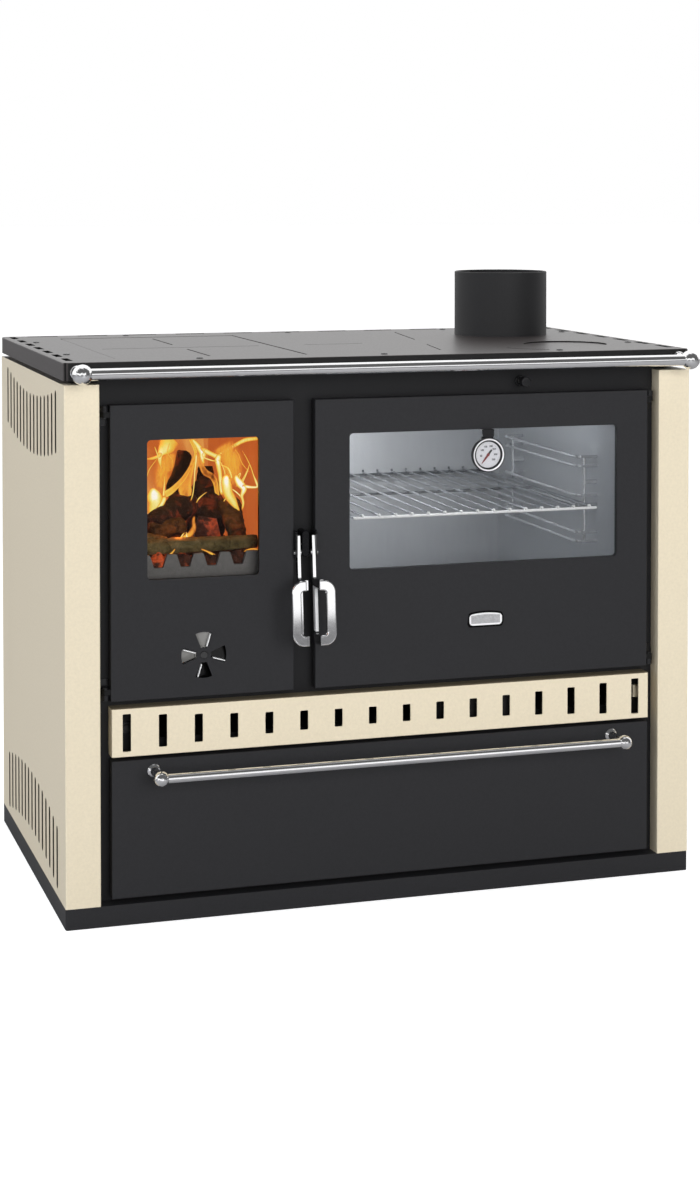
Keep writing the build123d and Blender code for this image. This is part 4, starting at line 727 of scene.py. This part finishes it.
def number(text, ox, oz, size=3.9):
    cu = bpy.data.curves.new("dial_text_" + text, "FONT")
    cu.body = text
    cu.size = size / 1000.0
    cu.align_x, cu.align_y = "CENTER", "CENTER"
    cu.offset = 0.00016
    to = bpy.data.objects.new("dial_text_" + text, cu)
    bpy.context.scene.collection.objects.link(to)
    bpy.context.view_layer.update()
    me_ = bpy.data.meshes.new_from_object(to.evaluated_get(bpy.context.evaluated_depsgraph_get()))
    bpy.data.objects.remove(to, do_unlink=True)
    c_ = P(657.7 + ox, DIAL_FACE - 0.06, 677.6 + oz)
    verts = [(c_.x + v.co.x, c_.y, c_.z + v.co.y) for v in me_.vertices]
    faces = [tuple(p_.vertices) for p_ in me_.polygons]
    bpy.data.meshes.remove(me_)
    return piece("dial_number_" + text, verts, faces, INK, False, None, "oven_door")


for text, ox, oz in (("50", -11.4, -1.5), ("100", -9.6, 7.1), ("150", -4.1, 12.4), ("200", 4.8, 12.9),
                     ("250", 10.2, 8.3), ("300", 12.4, 0.0), ("350", 8.9, -7.8)):
    number(text, ox, oz)

# painted shadow: a dark sheet under the bare plate, a little wider than it, standing for the shadow round its edge
pv = []
for k in range(49):
    t_ = k / 48.0
    if t_ < 0.5:
        q_ = t_ / 0.5
        x_ = 657.5 + 30.0 * (1 - 2 * q_)
        z_ = 431.0 + 3.4 * (1 - (2 * q_ - 1) ** 2) - 6.0 * max(0.0, (abs(2 * q_ - 1) - 0.86) / 0.14) ** 2
    else:
        q_ = (t_ - 0.5) / 0.5
        x_ = 657.5 - 30.0 * (1 - 2 * q_)
        z_ = 409.2 + 6.0 * max(0.0, (abs(2 * q_ - 1) - 0.86) / 0.14) ** 2
    pv.append(P(x_, 5.8, z_))
PLATE_SHADOW = powder("painted_plate_shadow", (0.0025, 0.0025, 0.0025), 0.8, 0.1, 900.0, 0.02, 0.1)
piece("nameplate_painted_shadow", pv, [tuple(range(len(pv)))], PLATE_SHADOW, False, None, "oven_door")

# the scale's fine marks
tv, tf = [], []
for k in range(37):
    a_ = math.radians(196.0 - k * 6.3)
    r0_, r1_ = (17.2, 18.6) if k % 6 == 0 else (17.7, 18.6)
    hw_ = 0.16 if k % 6 == 0 else 0.10
    ca, sa = math.cos(a_), math.sin(a_)
    b0 = len(tv)
    for rr_, ss_ in ((r0_, -hw_), (r0_, hw_), (r1_, hw_), (r1_, -hw_)):
        tv.append(P(657.7 + rr_ * ca - ss_ * sa, DIAL_FACE - 0.06, 677.6 + rr_ * sa + ss_ * ca))
    tf.append((b0, b0 + 1, b0 + 2, b0 + 3))
piece("dial_marks", tv, tf, INK, False, None, "oven_door")


def point(name, loc, power, col=(1.0, 0.42, 0.10), radius=0.02):
    l = bpy.data.lights.new(name, "POINT")
    l.energy = power
    l.color = col
    l.shadow_soft_size = radius
    o_ = bpy.data.objects.new(name, l)
    bpy.context.scene.collection.objects.link(o_)
    o_.location = loc
    o_.visible_camera = False
    o_.visible_glossy = False
    return o_


point("fire_light_left", P(140, 120, 655), 0.35)
point("fire_light_right", P(268, 100, 660), 0.30)
point("fire_light_back", P(190, 320, 690), 0.8)
point("ember_light", P(185, 62, 566), 0.10, (1.0, 0.30, 0.06), 0.008)

# ---------------------------------------------------------------- stage, light and camera
floor_m = bpy.data.materials.new("studio_floor")
floor_m.use_nodes = True
nt = floor_m.node_tree
nt.nodes.clear()
out = nt.nodes.new("ShaderNodeOutputMaterial")
mix = nt.nodes.new("ShaderNodeMixShader")
lpf = nt.nodes.new("ShaderNodeLightPath")
dim = nt.nodes.new("ShaderNodeBsdfDiffuse")
dim.inputs["Color"].default_value = (0.42, 0.42, 0.43, 1)
pale = nt.nodes.new("ShaderNodeBsdfPrincipled")
pale.inputs["Base Color"].default_value = (0.92, 0.92, 0.92, 1)
pale.inputs["Roughness"].default_value = 1.0
pale.inputs["Specular IOR Level"].default_value = 0.0
pale.inputs["Emission Color"].default_value = (1, 1, 1, 1)
pale.inputs["Emission Strength"].default_value = 0.62
nt.links.new(lpf.outputs["Is Camera Ray"], mix.inputs[0])
nt.links.new(dim.outputs[0], mix.inputs[1])
nt.links.new(pale.outputs[0], mix.inputs[2])
nt.links.new(mix.outputs[0], out.inputs[0])
me = bpy.data.meshes.new("studio_floor")
me.from_pydata([(-60, -60, 0), (60, -60, 0), (60, 60, 0), (-60, 60, 0)], [], [(0, 1, 2, 3)])
floor = bpy.data.objects.new("studio_floor", me)
bpy.context.scene.collection.objects.link(floor)
me.materials.append(floor_m)
floor.location.z = -0.0005

world = bpy.data.worlds.new("studio")
bpy.context.scene.world = world
world.use_nodes = True
wn = world.node_tree
wn.nodes.clear()


def wmath(op, a, b=None, clamp=False):
    n = wn.nodes.new("ShaderNodeMath")
    n.operation = op
    n.use_clamp = clamp
    for i, v in enumerate((a, b)):
        if v is None:
            continue
        if isinstance(v, (int, float)):
            n.inputs[i].default_value = v
        else:
            wn.links.new(v, n.inputs[i])
    return n.outputs[0]


def wstep(v, lo, hi):
    n = wn.nodes.new("ShaderNodeMapRange")
    n.interpolation_type = "SMOOTHSTEP"
    n.inputs["From Min"].default_value = lo
    n.inputs["From Max"].default_value = hi
    wn.links.new(v, n.inputs["Value"])
    return n.outputs[0]


wo = wn.nodes.new("ShaderNodeOutputWorld")
bg1 = wn.nodes.new("ShaderNodeBackground")
bg2 = wn.nodes.new("ShaderNodeBackground")
mx = wn.nodes.new("ShaderNodeMixShader")
lp = wn.nodes.new("ShaderNodeLightPath")
tc = wn.nodes.new("ShaderNodeTexCoord")
sx = wn.nodes.new("ShaderNodeSeparateXYZ")
wn.links.new(tc.outputs["Generated"], sx.inputs[0])
dx, dy, dz = sx.outputs
behind = wstep(dy, -0.12, 0.10)                       # pale backdrop behind the stove
soft_el = wmath("SUBTRACT", 1.0, wstep(dz, 0.30, 0.38))    # softbox in front, from the floor up
soft_az = wmath("MULTIPLY", wstep(dx, -0.995, -0.90), wmath("SUBTRACT", 1.0, wstep(dx, 0.40, 0.55)))
soft = wmath("MULTIPLY", soft_el, soft_az)
top = wstep(dz, 0.965, 0.995)
lit = wmath("MAXIMUM", wmath("MAXIMUM", behind, soft), top)
level = wn.nodes.new("ShaderNodeMapRange")
level.inputs["To Min"].default_value = 0.10
level.inputs["To Max"].default_value = 0.95
wn.links.new(lit, level.inputs["Value"])
grey = wn.nodes.new("ShaderNodeCombineColor")
for i in range(3):
    wn.links.new(level.outputs[0], grey.inputs[i])
wn.links.new(grey.outputs[0], bg1.inputs["Color"])
wn.links.new(wmath("ADD", 0.9, wmath("MULTIPLY", lp.outputs["Is Glossy Ray"], 0.35)), bg1.inputs["Strength"])
bg2.inputs["Color"].default_value = (1, 1, 1, 1)
bg2.inputs["Strength"].default_value = 1.0
wn.links.new(lp.outputs["Is Camera Ray"], mx.inputs[0])
wn.links.new(bg1.outputs[0], mx.inputs[1])
wn.links.new(bg2.outputs[0], mx.inputs[2])
wn.links.new(mx.outputs[0], wo.inputs[0])


def area(name, loc, target, size, power, col=(1, 1, 1), sy=None, glossy=False):
    l = bpy.data.lights.new(name, "AREA")
    l.energy = power
    l.color = col
    l.size = size
    if sy:
        l.shape = "RECTANGLE"
        l.size_y = sy
    o = bpy.data.objects.new(name, l)
    bpy.context.scene.collection.objects.link(o)
    o.location = loc
    o.rotation_mode = "QUATERNION"
    o.rotation_quaternion = (Vector(target) - Vector(loc)).to_track_quat("-Z", "Y")
    o.visible_camera = False
    o.visible_glossy = glossy
    return o


area("key_light", (0.3, -5.0, 1.5), (0, 0, 0.35), 2.6, 163)
area("left_light", (-4.0, -0.6, 1.6), (0, 0, 0.4), 2.4, 50, (0.86, 0.90, 1.0))
area("top_light", (0.0, -0.3, 3.4), (0, 0, 0.8), 2.5, 30)
area("oven_light", P(590, 80, 732), P(580, 560, 540), 0.28, 2.9, (0.95, 0.98, 1.0), sy=0.04)
area("oven_streak_light", P(470, 420, 730), P(440, 556, 660), 0.12, 2.6, (1.0, 1.0, 1.0), sy=0.06)

cam = bpy.data.cameras.new("camera")
camo = bpy.data.objects.new("camera", cam)
bpy.context.scene.collection.objects.link(camo)
bpy.context.scene.camera = camo
cam.sensor_width = 36.0
cam.lens = 67.285
cam.shift_x = 0.00193
cam.shift_y = -0.28512
cam.clip_start = 0.05
cam.clip_end = 300
camo.location = (X(-571.0), Y(-3230.4), Z(1086.4))
camo.rotation_mode = "XYZ"
camo.rotation_euler = (math.radians(90 - 1.75), 0, math.radians(-17.254))

sc = bpy.context.scene
sc.view_settings.view_transform = "Standard"
sc.view_settings.look = "None"
sc.view_settings.exposure = 0.0
